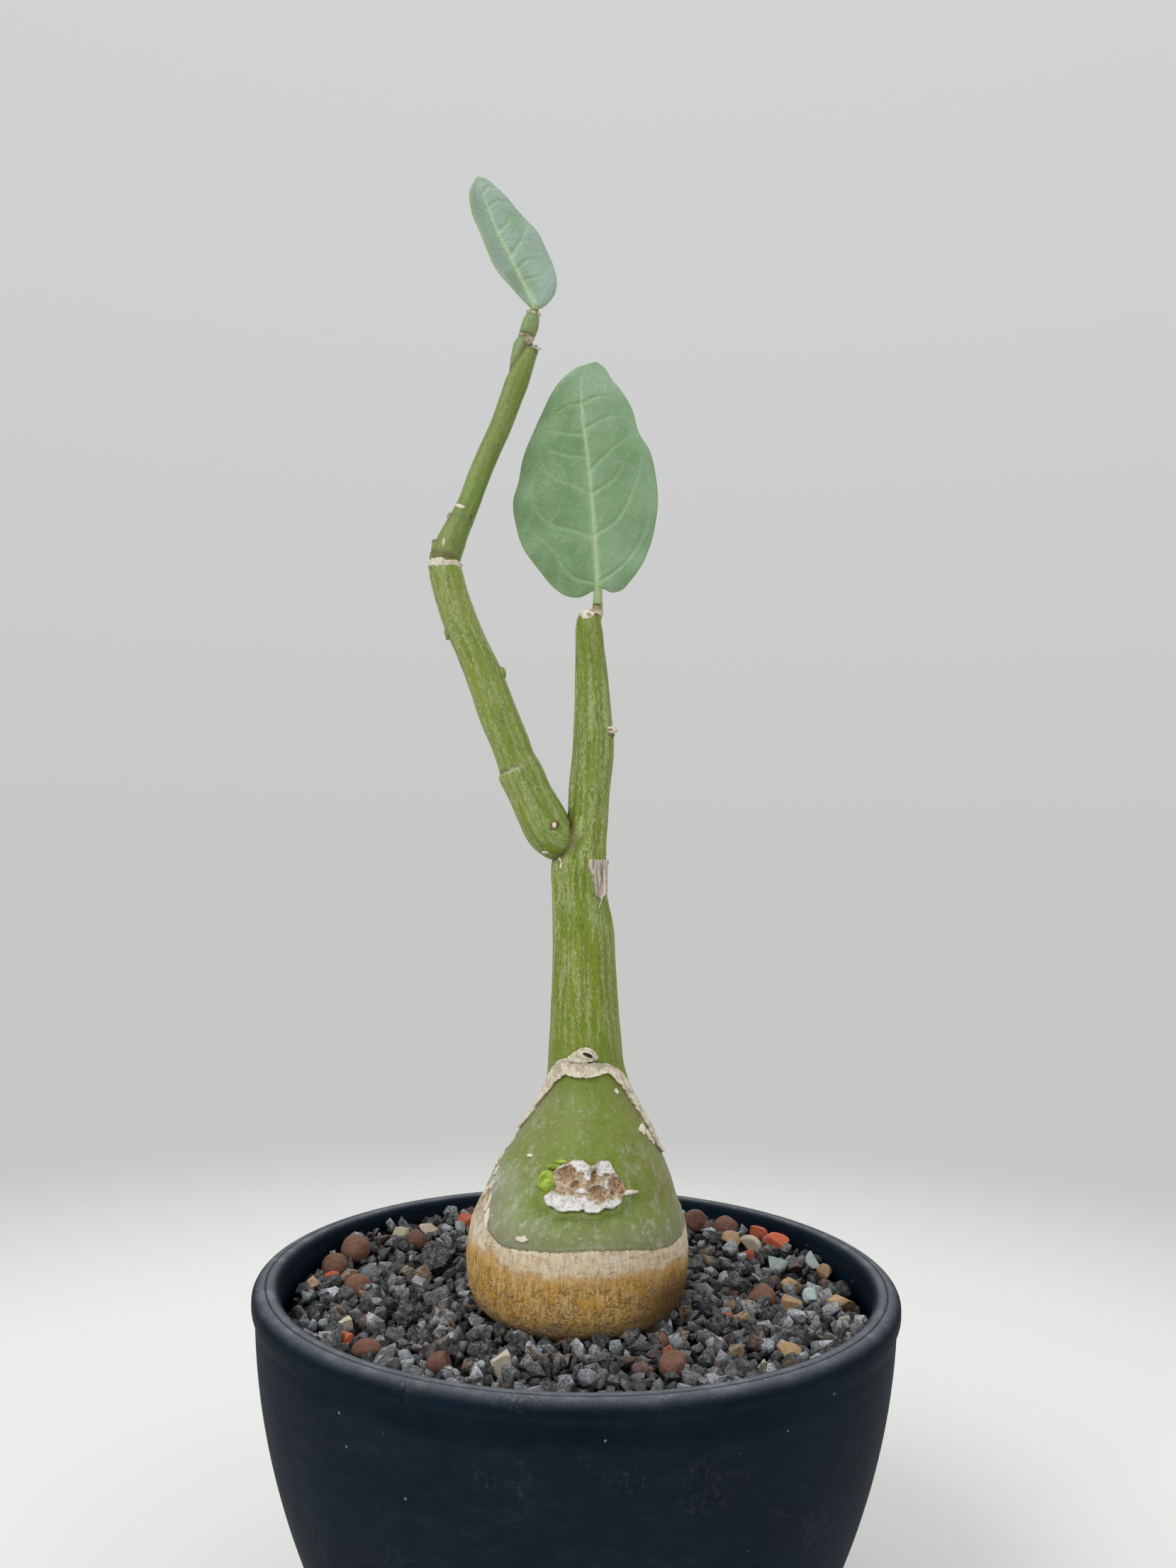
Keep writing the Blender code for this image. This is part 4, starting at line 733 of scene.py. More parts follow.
def grit_paint():
    """Porous stone in each grain's own tint, with dusty faces and pale specks of painted glint."""
    p = Paint("grit", 0.35)
    grain, tint, pores = p.vector("grain"), p.vector("tint"), p.value("pores")
    cloud = grain.noise(0.9, 4.0, 0.65)
    dark = mix(pores * 0.50 + 0.10, tint, (0.0, 0.0, 0.0))
    light = mix(pores * 0.17 + 0.03, tint, (0.60, 0.60, 0.62))
    colour = mix(cloud.ramp(0.38, 0.62), dark, light)
    small = grain.noise(3.2, 3.0, 0.7).ramp(0.46, 0.34)
    holes = grain.cells(1.15, "F1").ramp(0.30, 0.12).math("MAXIMUM", small) * pores
    colour = mix(holes * 0.65, colour, (0.008, 0.008, 0.009))
    # Pale specks: painted glints.
    colour = mix(grain.noise(2.4, 2.0).ramp(0.66, 0.72) * pores * 0.35, colour, (0.42, 0.43, 0.46))
    return p.finish(colour, cloud * 0.2 + 0.62, holes * -0.35 + cloud * (pores * 0.35 + 0.10))


# Pot

def outer_radius(depth):
    return WALL_RADIUS - WALL_CURVE * depth * depth


def inner_profile():
    """Radius and depth down the inside."""
    floor = POT_HEIGHT - FLOOR_THICKNESS
    wall = [(outer_radius(depth) - WALL_THICKNESS, depth) for depth in np.linspace(12.0, 81.0, 12)]
    return [(LIP_INNER_RADIUS, 2.0), *wall, (FLOOR_RADIUS + 1.5, floor - 1.5), (FLOOR_RADIUS, floor)]


def pot_profile():
    """Radius, depth, and dust and painted sheen, from the floor's middle, over the lip, to the foot's middle.
    """
    profile = [(0.02, POT_HEIGHT - FLOOR_THICKNESS, 0.1)]
    profile += [(radius, depth, 0.02) for radius, depth in reversed(inner_profile()[1:])]
    profile.append((LIP_INNER_RADIUS + 0.25, 9.5, 0.0))
    profile += [(LIP_INNER_RADIUS, 7.0, 0.0), (LIP_INNER_RADIUS, 3.0, 0.05)]
    for turn in np.radians(range(0, 91, 15)):
        profile.append((LIP_INNER_RADIUS + LIP_ROUND * (1 - math.cos(turn)), LIP_ROUND * (1 - math.sin(turn)),
                        0.02 + 0.98 * math.sin(turn) ** 12))
    profile += [(LIP_INNER_RADIUS + across, depth, dust_and_sheen) for across, depth, dust_and_sheen in LIP_GROOVE]
    for turn in np.radians(range(90, -1, -10)):
        profile.append((LIP_RADIUS - 2.6 * (1 - math.cos(turn)), 0.05 + 2.4 * (1 - math.sin(turn)),
                        0.02 + 0.95 * math.sin(turn) ** 4))
    profile += [(LIP_RADIUS - inward, depth, dust_and_sheen) for inward, depth, dust_and_sheen in LIP_UNDERSIDE]
    profile.append((outer_radius(7.4), 7.4, 0.02))
    profile += [(outer_radius(depth), depth, 0.05) for depth in np.linspace(10.0, 88.0, 26)]
    profile += [(FOOT_RADIUS + beyond, POT_HEIGHT - height, 0.3) for beyond, height in FOOT_ROUND]
    return profile + [(0.02, POT_HEIGHT, 0.2)]


def make_pot(paint):
    """The turned pot with its drainage holes."""
    profile = np.array(pot_profile())
    profile[:, 1] = POT_HEIGHT - profile[:, 1]
    points = turned(profile, POT_SIDES)
    values = {"grain": points, "dust_and_sheen": np.repeat(profile[:, 2], POT_SIDES)}
    pot = piece("pot_shell", points, tube_faces(len(profile), POT_SIDES), paint, values)
    bm = bmesh.new()
    for _, across, deep in zip(*circle(6)):
        place = Matrix.Translation((DRAIN_CIRCLE * MM * across, DRAIN_CIRCLE * MM * deep, 0.0015))
        bmesh.ops.create_cone(bm, cap_ends=True, segments=36, radius1=DRAIN_RADIUS * MM,
                              radius2=DRAIN_RADIUS * MM, depth=0.012, matrix=place)
    mesh = bpy.data.meshes.new("drains")
    bm.to_mesh(mesh)
    bm.free()
    drains = bpy.data.objects.new("drains", mesh)
    bpy.context.scene.collection.objects.link(drains)
    cut = pot.modifiers.new("drains", "BOOLEAN")
    cut.object = drains
    cut.solver = "MANIFOLD"
    graph = bpy.context.evaluated_depsgraph_get()
    pot.data = bpy.data.meshes.new_from_object(pot.evaluated_get(graph))
    pot.modifiers.clear()
    bpy.data.objects.remove(drains, do_unlink=True)
    pot.data.set_sharp_from_angle(angle=math.radians(40))
    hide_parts("pot")


# Plant

def main_row(heights):
    """Centre x, centre y and radius of the main stem at these heights."""
    rows = np.array(MAIN, float)
    return through(rows[:, 0], rows[:, 1:], heights)


def window_distance(turns, heights, radii):
    """Distance in millimetres from the green window's edge, positive inside it."""
    corners = np.array(WINDOW, float)
    x = np.radians(turns) * radii
    best = np.full(len(turns), np.inf)
    inside = np.zeros(len(turns), bool)
    for (turn_a, high_a), (turn_b, high_b) in zip(corners, np.roll(corners, -1, axis=0)):
        ax, bx = np.radians(turn_a) * radii, np.radians(turn_b) * radii
        dx, dz = bx - ax, high_b - high_a
        t = np.clip(((x - ax) * dx + (heights - high_a) * dz) / (dx * dx + dz * dz), 0, 1)
        best = np.minimum(best, np.hypot(x - ax - t * dx, heights - high_a - t * dz))
        if high_a != high_b:
            crosses = (heights >= min(high_a, high_b)) & (heights < max(high_a, high_b))
            share = (heights - high_a) / (high_b - high_a)
            inside ^= crosses & (turns < turn_a + share * (turn_b - turn_a))
    return np.where(inside, best, -best)


def collar_line(turns):
    rows = np.array(COLLAR, float)
    return np.interp(np.mod(turns, 360.0), rows[:, 0], rows[:, 1])


def cut_reach(across, up):
    """How far points lie from the healed cut's middle, where 1 is its outline."""
    return np.hypot(across, up) / edge_at(CUT_OUTLINE, np.arctan2(up, across))


def skin(turns, heights, lift):
    """Points on the main stem's surface, their cork value, and the points of the plain stem below them."""
    rows = main_row(heights)
    angle = np.radians(turns + FRONT)
    around = np.mod(turns + 180.0, 360.0) - 180.0
    cork = np.minimum(collar_line(turns) - heights, -window_distance(around, heights, rows[:, 2]))
    flat = stack(rows[:, 2] * np.cos(angle), rows[:, 2] * np.sin(angle), heights)
    fade = np.clip((heights - TRUNK_BASE) / FLUTE_FADE, 0, 1)
    fade = fade * np.clip((TRUNK_TOP - heights) / FLUTE_FADE, 0, 1)
    ribs = FLUTE_DEPTH * fade * np.cos(FLUTES * angle + FLUTE_TWIST * heights)
    lumps = rough(flat, 0.09, 1) * (0.30 - 0.16 * step(125.0, 150.0, heights))
    barky = step(-0.3, 0.3, cork + 0.5 * rough(flat, 0.9, 2))
    ragged = barky * (0.22 + 0.16 * rough(flat * (1.0, 1.0, 0.16), 0.8, 3, 3))
    reach = cut_reach(np.radians(around - HEALED_CUT[0]) * rows[:, 2], heights - HEALED_CUT[1])
    swell = 0.8 * np.exp(-((reach - 1.08) / 0.20) ** 2) - 0.3 * step(0.9, 0.5, reach)
    radius = rows[:, 2] + ribs + lumps + ragged + swell + lift
    points = stack(rows[:, 0] + radius * np.cos(angle), rows[:, 1] + radius * np.sin(angle), heights)
    return points, cork, flat


def on_skin(turns, heights, lift):
    """Points on the main stem's surface for a grid of turns and heights."""
    grid = np.broadcast_arrays(turns, heights, lift)
    return skin(*(part.ravel() for part in grid))[0].reshape(*grid[0].shape, 3)


def crease(points, stations):
    """Painted brown shade in the crease where a surface comes near another stem, given by its stations."""
    rows = np.array(stations, float)
    best = np.inf
    for a, b in zip(rows, rows[1:]):
        way = b[:3] - a[:3]
        t = np.clip((points - a[:3]) @ way / (way @ way), 0, 1)
        far = np.linalg.norm(points - a[:3] - t[..., None] * way, axis=-1)
        best = np.minimum(best, far - (a[3] + (b[3] - a[3]) * t))
    return 0.60 * step(1.5, 0.2, best + 0.5 * rough(points, 0.9, 6, 3))


def skin_colours(points, heights, around):
    """The main stem's broad green at each point, its streak strength and its bloom."""
    trunk = step(138.0, 152.0, heights)
    low = step(118.0, 105.0, heights)
    window = step(147.0, 137.0, heights) * (0.75 + 0.5 * rough(points, 0.10, 9, 3))
    tint = (0.150, 0.207, 0.010)
    for share, colour in (
        (trunk, (0.165, 0.228, 0.012)),
        (0.45 * trunk * step(20.0, 75.0, around) * step(150.0, 110.0, around), (0.26, 0.22, 0.055)),
        (0.6 * step(192.0, 205.0, heights), (0.160, 0.240, 0.035)),
        (0.8 * step(234.0, 248.0, heights), (0.135, 0.185, 0.008)),
        (0.6 * low, (0.265, 0.350, 0.095)),
        (0.85 * window * step(-18.0, -62.0, around), (0.225, 0.225, 0.095)),
        (0.80 * window * step(22.0, 70.0, around), (0.215, 0.190, 0.035)),
        (0.4 * np.clip(rough(points, 0.06, 5) * 1.6, 0, 1), (0.165, 0.285, 0.040)),
    ):
        tint = blend(np.clip(share, 0, 1), tint, colour)
    streak = 0.06 + 0.94 * step(141.0, 156.0, heights) * (1 - 0.55 * step(232.0, 248.0, heights))
    # More bloom on the lower left: a whitish waxy film there, partly painted light on the lit left side.
    left_low = step(-20.0, -60.0, around) * step(126.0, 114.0, heights)
    bloom = step(143.0, 132.0, heights) * (0.40 + 0.95 * left_low + 0.30 * low)
    return tint, streak, np.clip(bloom, 0, 1)


def make_main(paint):
    """The root, the caudex, the trunk and the right branch in one skin."""
    heights = np.concatenate([
        np.arange(50, 82, 2.0), np.arange(82, 150, 0.5), np.arange(150, 253.6, 0.75), [253.8, 254.0],
    ])
    turns = np.tile(np.degrees(circle(MAIN_SIDES)[0]), len(heights))
    levels = np.repeat(heights, MAIN_SIDES)
    points, cork, grain = skin(turns, levels, 0.0)
    tint, streak, bloom = skin_colours(points, levels, np.mod(turns + 180.0, 360.0) - 180.0)
    # Painted shade in the crease at the left branch, and a brown band at the top.
    shade = crease(points, LEFT_BRANCH) + 0.5 * step(251.6, 253.4, levels)
    values = {"grain": grain, "tint": tint, "streak": streak, "bloom": bloom, "cork": cork, "shade": shade}
    stem = piece("stem_main", points, tube_faces(len(heights), MAIN_SIDES), paint, values)
    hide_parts("caudex_stem")


def limb(name, stations, paint, tints, streak, sides=56, spacing=0.55, marks=(), seed=0, lumps=0.10,
         ledges=(), beside=None):
    """A side stem. tints are its colours from base to tip.

    A mark is a height, a half length, a swelling and a shade. A ledge is a height where the part below stands
    proud on its left and front, by how much, and over what length that fades. beside is a stem that it meets.
    """
    rows = np.array(stations, float)
    at = distances(rows[:, :3])
    along = np.append(np.arange(0, at[-1], spacing), at[-1])
    fine = through(at, rows, along)
    middle, heights, radius = fine[:, None, :3], fine[:, 2:3], fine[:, 3:]
    ahead = unit(np.gradient(fine[:, :3], along, axis=0))
    side = unit(np.cross(ahead, (0.0, 1.0, 0.0)))
    up = np.cross(side, ahead)
    _, cosines, sines = circle(sides)
    out = side[:, None] * cosines[:, None] + up[:, None] * sines[:, None]
    grain = stack(radius * cosines, radius * sines, along[:, None] + 300.0 + 40.0 * seed)
    wide = radius + lumps * rough(grain, 0.25, seed + 1, 3) * np.minimum(1.0, radius / 2)
    wander = 0.35 * rough(grain, 0.8, seed + 2)
    shade = rim = np.zeros(wide.shape)
    for height, half, swell, dark in marks:
        near = np.exp(-((heights + wander - height) / half) ** 2)
        wide = wide + swell * near
        shade = np.maximum(shade, dark * near)
    for height, proud, length in ledges:
        facing = step(0.15, 0.75, -0.75 * out[..., 0] - 0.65 * out[..., 1])
        below = height + 0.5 * wander - heights
        wide = wide + proud * facing * step(0.0, 0.35, below) * step(length, 0.0, below)
        # Just above each ledge, a dark line of painted shadow; just below, a pale rim along its edge.
        shade = np.maximum(shade, 0.85 * facing * np.exp(-((below + 0.35) / 0.28) ** 2))
        rim = np.maximum(rim, facing * np.exp(-((below - 0.15) / 0.30) ** 2))
    points = middle + out * wide[..., None]
    # Painted shade in the crease where this stem meets the one beside it.
    if beside is not None:
        shade = np.maximum(shade, crease(points, beside))
    share = along[:, None] / at[-1] * (len(tints) - 1)
    tint = stack(*(np.interp(share, range(len(tints)), channel) for channel in zip(*tints)))
    tint = blend(0.35 * np.clip(rough(grain, 0.10, seed + 3) * 1.6, 0, 1), tint, (0.17, 0.30, 0.045))
    tint = blend(0.85 * rim, tint, (0.55, 0.56, 0.42))
    values = {"grain": grain, "tint": tint, "streak": streak, "bloom": 0.0, "cork": -50.0, "shade": shade,
              "tone": 0.7}
    piece(name, points, tube_faces(len(along), sides), paint, values)


def drape(name, rows, paint, tone, thickness=0.5, curl=0.3, seed=0, closed=False, ragged=0.35, columns=11):
    """A strip of bark on the main stem. rows hold turn, height and width along its middle line."""
    rows = np.array(rows, float)
    radii = main_row(rows[:, 1])[:, 2]
    at = distances(stack(np.radians(rows[:, 0]) * radii, rows[:, 1]))
    along = np.linspace(0, at[-1], max(8, int(at[-1] / 0.4)))
    turn, height, width = through(at, rows, along).T
    here = main_row(height)[:, 2]
    way = unit(stack(np.gradient(np.radians(turn), along) * here, np.gradient(height, along)))
    place = stack(here * np.cos(np.radians(turn)), here * np.sin(np.radians(turn)), height)
    low, high = (1 + ragged * rough(place, 1.1, seed + side, 3) for side in (1, 2))
    count = len(along) - closed
    parts = (turn, height, width, here, low, high, way[:, 0], way[:, 1])
    turn, height, width, here, low, high, around, rising = (part[:count, None] for part in parts)
    share = np.linspace(-1, 1, columns)
    reach = share * np.where(share < 0, low, high) * width / 2
    turn = turn - np.degrees(rising * reach / here)
    height = height + around * reach
    lift = thickness + curl * np.abs(share) ** 3
    lift = lift + 0.18 * rough(stack(turn * here / 57.3, height, 0.0), 0.7, seed + 3, 3)
    under = np.maximum(-0.6, lift - 0.45 - 1.2 * (1 - np.abs(share) ** 3))
    points = there_and_back(on_skin(turn, height, lift), on_skin(turn, height, under))
    tones = np.append(tone * (0.15 + 0.85 * np.abs(share) ** 4), np.zeros(columns))
    values = {"grain": points, "tone": np.tile(tones, count), "shade": 0.0}
    piece(name, points, tube_faces(count, 2 * columns, closed), paint, values)


def flake(name, turn, height, half_width, half_height, tilt, tone, proud, paint, seed):
    """A small raised scrap on the main stem's skin, with an uneven edge."""
    radius = main_row(np.array([height]))[0, 2]
    _, cosines, sines = circle(22)
    edge = 1 + 0.42 * rough(stack(cosines, sines, seed), 1.5, seed + 1, 4)
    spin = math.radians(tilt)
    reach = np.array([1.0, 1.0, 0.86, 0.6, 0.3, 0.06])[:, None]
    lift = np.array([-0.5 / proud, 0.5, 1.0, 0.9, 0.8, 0.8])[:, None] * proud
    across = reach * edge * half_width * cosines
    up = reach * edge * half_height * sines
    x = across * math.cos(spin) - up * math.sin(spin)
    z = across * math.sin(spin) + up * math.cos(spin)
    wave = 0.12 * proud * rough(stack(x, z, seed), 1.6, seed + 2, 3) * (reach < 1)
    points = on_skin(turn + np.degrees(x / radius), height + z, lift + wave)
    piece(name, points, tube_faces(6, 22), paint, {"grain": points, "tone": tone, "shade": 0.0})


def make_cut(paint):
    """The healed cut: a lumpy mound with pits, and a white crust along its foot and in spots."""
    turn, height, radius = HEALED_CUT
    sides = 150
    _, cosines, sines = circle(sides)
    size = 0.95 / cut_reach(cosines, sines)
    size *= 1 + 0.035 * rough(stack(cosines, sines, 0.0), 6.0, 11, 4)
    reach = np.append([1.05, 1.02, 1.0], np.linspace(0.985, 0.02, 38))[:, None]
    x, z = reach * size * cosines, reach * size * sines
    flat = stack(x, z, 0.0)
    wander = rough(flat, 0.8, 14, 3)
    crust = step(0.45, -0.45, z - np.interp(x, *zip(*CRUST_EDGE)) + 0.7 * wander)
    for across, up, half_width, half_height in CRUST_SPOTS:
        far = np.hypot((x - across) / half_width, (z - up) / half_height) + 0.5 * wander
        crust = np.maximum(crust, step(1.25, 0.85, far))
    lift = 1.05 * np.sqrt(np.clip((1.0 - reach) / 0.10, 0, 1)) - 0.9 * step(0.99, 1.05, reach)
    bumps = 0.45 * rough(flat, 0.55, 12, 4) + 0.28 * rough(flat, 1.5, 13, 3) + 0.35 * crust
    lift = lift + np.minimum(1.0, (1.05 - reach) / 0.10) * bumps
    pit = np.zeros(x.shape)
    for across, up, half_width, half_height, depth in PITS:
        far = np.hypot((x - across) / half_width, (z - up) / half_height) + 0.25 * wander
        lift = lift - depth * np.exp(-np.abs(far) ** 3) + 0.4 * depth * np.exp(-((far - 1.3) / 0.22) ** 2)
        pit = np.maximum(pit, step(1.2, 0.7, far))
    points = on_skin(turn + np.degrees(x / radius), height + z, lift)
    deep = np.clip(pit * 0.75 + 0.6 * step(0.95, 1.02, reach), 0, 1)
    values = {"grain": points, "white": crust * (1 - 0.8 * pit), "deep": deep}
    piece("healed_cut", points, tube_faces(len(reach), sides), paint, values)


def lump(name, centre, sizes, paint, values, seed, roughness, spin=0.0, subdivisions=4):
    """A rounded lump with an uneven surface. spin turns it clockwise, seen from the front."""
    points, faces = ball(subdivisions)
    points = points * (1 + roughness * rough(points, 1.3, seed, 4))[:, None] * sizes
    points = points @ np.array(Matrix.Rotation(math.radians(spin), 3, "Y")).T + centre
    piece(name, points, faces, paint, {"grain": points, **values})


def paper_ring(name, centre, ahead, radius, width, paint, tone, seed, tear, lift, shade):
    """A torn ribbon of dry leaf base round a stem, whose upper edge stands off."""
    ahead = unit(ahead)
    side = unit(np.cross(ahead, (0.0, 1.0, 0.0)))
    _, cosines, sines = circle(150)
    cosines, sines = cosines[:, None], sines[:, None]
    out = cosines * side + sines * np.cross(side, ahead)
    here = stack(2 * cosines, 2 * sines, seed)
    share = np.array([-1.0, -1.0, -0.5, 0.0, 0.5, 1.0, 1.0, 0.5, 0.5])
    proud = np.array([-0.3, 0.10, 0.16, 0.14, 0.18 + 0.4 * lift, 0.14 + lift, 0.02 + lift, -0.05, -0.3])
    top, low = (width / 2 * (1 + tear * rough(here, 0.9, own, 5)) for own in (seed, seed + 7))
    far = radius + proud + 0.10 * rough(here + 1.5 * share[:, None], 1.2, seed + 2, 3)
    along = 0.35 * width * rough(here, 0.5, seed + 1) + share * np.where(share > 0, top, low)
    points = centre + out[:, None] * far[..., None] + ahead * along[..., None]
    values = {"grain": points, "tone": tone, "shade": np.tile(shade * (0.6 + 0.4 * share), 150)}
    piece(name, points, tube_faces(150, 9, True), paint, values)


def make_curl(paint):
    """The loose end of bark at the collar's front, folded into a flat loop that is open towards the front."""
    sides = 90
    angles, cosines, sines = circle(sides)
    outer = edge_at(CURL_OUTLINE, angles)
    wide, tall, tilt = CURL_HOLE
    inner = 1 / np.hypot(np.cos(angles - tilt) / wide, np.sin(angles - tilt) / tall)
    share, back, tone, shade = np.array(CURL_RINGS).T[..., None]
    reach = inner + (outer - inner) * share
    x, z = reach * cosines, reach * sines
    y = 0.035 * (x - 1.0) ** 2 + back + 0.16 * rough(stack(x, z, 0.0), 1.1, 21, 3)
    points = stack(x, y, z) + CURL_MIDDLE
    # The rings turned back into the hole and behind the flap's edge are darkened with painted shade.
    values = {"grain": points, "tone": np.repeat(tone, sides), "shade": np.repeat(shade, sides)}
    piece("bark_curl", points, tube_faces(len(share), sides), paint, values)


def make_stems(skin_made, bark, fibres, crust):
    make_main(skin_made)
    base, middle, top = (0.155, 0.235, 0.018), (0.190, 0.255, 0.040), (0.185, 0.240, 0.035)
    limb("branch_left", LEFT_BRANCH, skin_made, (base, middle, middle, top), 0.85, sides=72, seed=1,
         marks=((264.8, 0.9, 0.0, 0.60),), ledges=((214.4, 0.6, 7.0),),
         beside=[(x, y, height, radius) for height, x, y, radius in MAIN])
    young = (0.145, 0.205, 0.040)
    limb("shoot_upper", UPPER_SHOOT, skin_made,
         ((0.165, 0.215, 0.055), young, young, (0.150, 0.215, 0.035)), 0.32, seed=2, lumps=0.05,
         marks=((265.3, 0.7, 0.05, 0.65), (275.2, 0.25, 0.06, 0.25), (319.3, 0.4, 0.08, 0.6)))
    limb("twig_top", TOP_TWIG, skin_made, ((0.17, 0.23, 0.08), (0.19, 0.26, 0.11), (0.22, 0.30, 0.13)), 0.25,
         sides=40, spacing=0.25, seed=3, lumps=0.16, marks=((323.3, 0.55, 0.0, 0.8), (329.4, 0.6, 0.0, 0.8)),
         beside=UPPER_SHOOT)
    limb("stub_old", OLD_STUB, skin_made, ((0.22, 0.29, 0.09), (0.24, 0.27, 0.10)), 0.2, sides=28,
         spacing=0.3, seed=5, marks=((269.4, 0.5, 0.0, 0.7),))
    limb("seat_leaf", LEAF_SEAT, skin_made, ((0.26, 0.28, 0.11), (0.34, 0.29, 0.14)), 0.2, sides=32,
         spacing=0.2, seed=6, marks=((253.4, 0.4, 0.10, 0.7), (255.0, 0.3, 0.05, 0.6)))
    drape("bark_collar", COLLAR, bark, 0.9, closed=True, seed=1, ragged=0.28)
    make_curl(bark)
    make_cut(crust)
    for i, (turn, height, wide, tall, tilt, kind, proud) in enumerate(FLAKES):
        tone = {"white": 0.95, "pale": 0.6, "bark": 0.35}[kind]
        flake(f"flake_{i:02d}", turn, height, wide, tall, tilt, tone, proud, bark, i)
    drape("bark_patch", BARK_PATCH, fibres, 0.2, thickness=0.30, curl=0.25, seed=5, ragged=0.16)
    dry = ((0.5, 0.4, 0.3), (0.5, 0.4, 0.3))
    limb("bark_thread", BARK_THREAD, bark, dry, 0.0, sides=10, spacing=0.2, seed=8)
    for name, centre, ahead, radius, width, tone, seed, tear, lift, shade in PAPER_RINGS:
        paper_ring(name, centre, ahead, radius, width, bark, tone, seed, tear, lift, shade)
    for name, centre, sizes, tone, shade, seed, roughness, spin in SCARS:
        lump(name, centre, sizes, bark, {"tone": tone, "shade": shade}, seed, roughness, spin)
    for i, (x, y, z, wide, deep, tall) in enumerate(KNOBS):
        values = {"tint": (0.19, 0.27, 0.06), "streak": 0.5, "bloom": 0.0, "cork": -50.0,
                  "shade": 0.05 if i else 0.55}
        lump(f"knob_{i}", (x, y, z), (wide, deep, tall), skin_made, values, 50 + i, 0.15, subdivisions=3)
    bud = bud_paint()
    for i, (x, y, z, wide, deep, tall) in enumerate(BUDS):
        lump(f"bud_{i}", (x, y, z), (wide, deep, tall), bud, {}, 60 + i, 0.11, subdivisions=3)
    limb("stick", STICK, bark, dry, 0.0, sides=18, spacing=0.2, seed=7)


# Leaves

def blade_grid(leaf):
    """Distance along and across for a grid of points on the blade, and their share of the half blade."""
    rows = np.array(leaf["rows"], float)
    at = distances(rows[:, :2])
    fine = through(at, rows, np.append(np.arange(0, at[-1], LEAF_STEP), at[-1]))
    share = np.linspace(-1, 1, LEAF_COLUMNS + 1)
    share = np.sign(share) * np.abs(share) ** 0.92
    middle, left, right = np.split(fine[:, None], 3, axis=-1)
    edge = np.where((share < 0)[:, None], left, right)
    along, across = np.moveaxis(middle + (edge - middle) * np.abs(share)[:, None], -1, 0)
    return along, across, np.broadcast_to(share, along.shape)


def vein_field(leaf, along, across):
    """How strongly each point lies on a vein: 1 on its middle line, 0 away from it."""
    strength = np.zeros(along.shape)
    for line in leaf["veins"]:
        at = distances(line)
        fine = through(at, line, np.linspace(0, at[-1], 4 * len(line)))
        count = len(fine) - 1
        for i, (a, b) in enumerate(zip(fine, fine[1:])):
            way = b - a
            t = np.clip(((along - a[0]) * way[0] + (across - a[1]) * way[1]) / (way @ way), 0, 1)
            far = np.hypot(along - a[0] - t * way[0], across - a[1] - t * way[1])
            width = 0.42 - 0.20 * (i + 1) / count
            strength = np.maximum(strength, (0.66 - 0.38 * i / count) * np.exp(-(far / width) ** 2))
    return strength


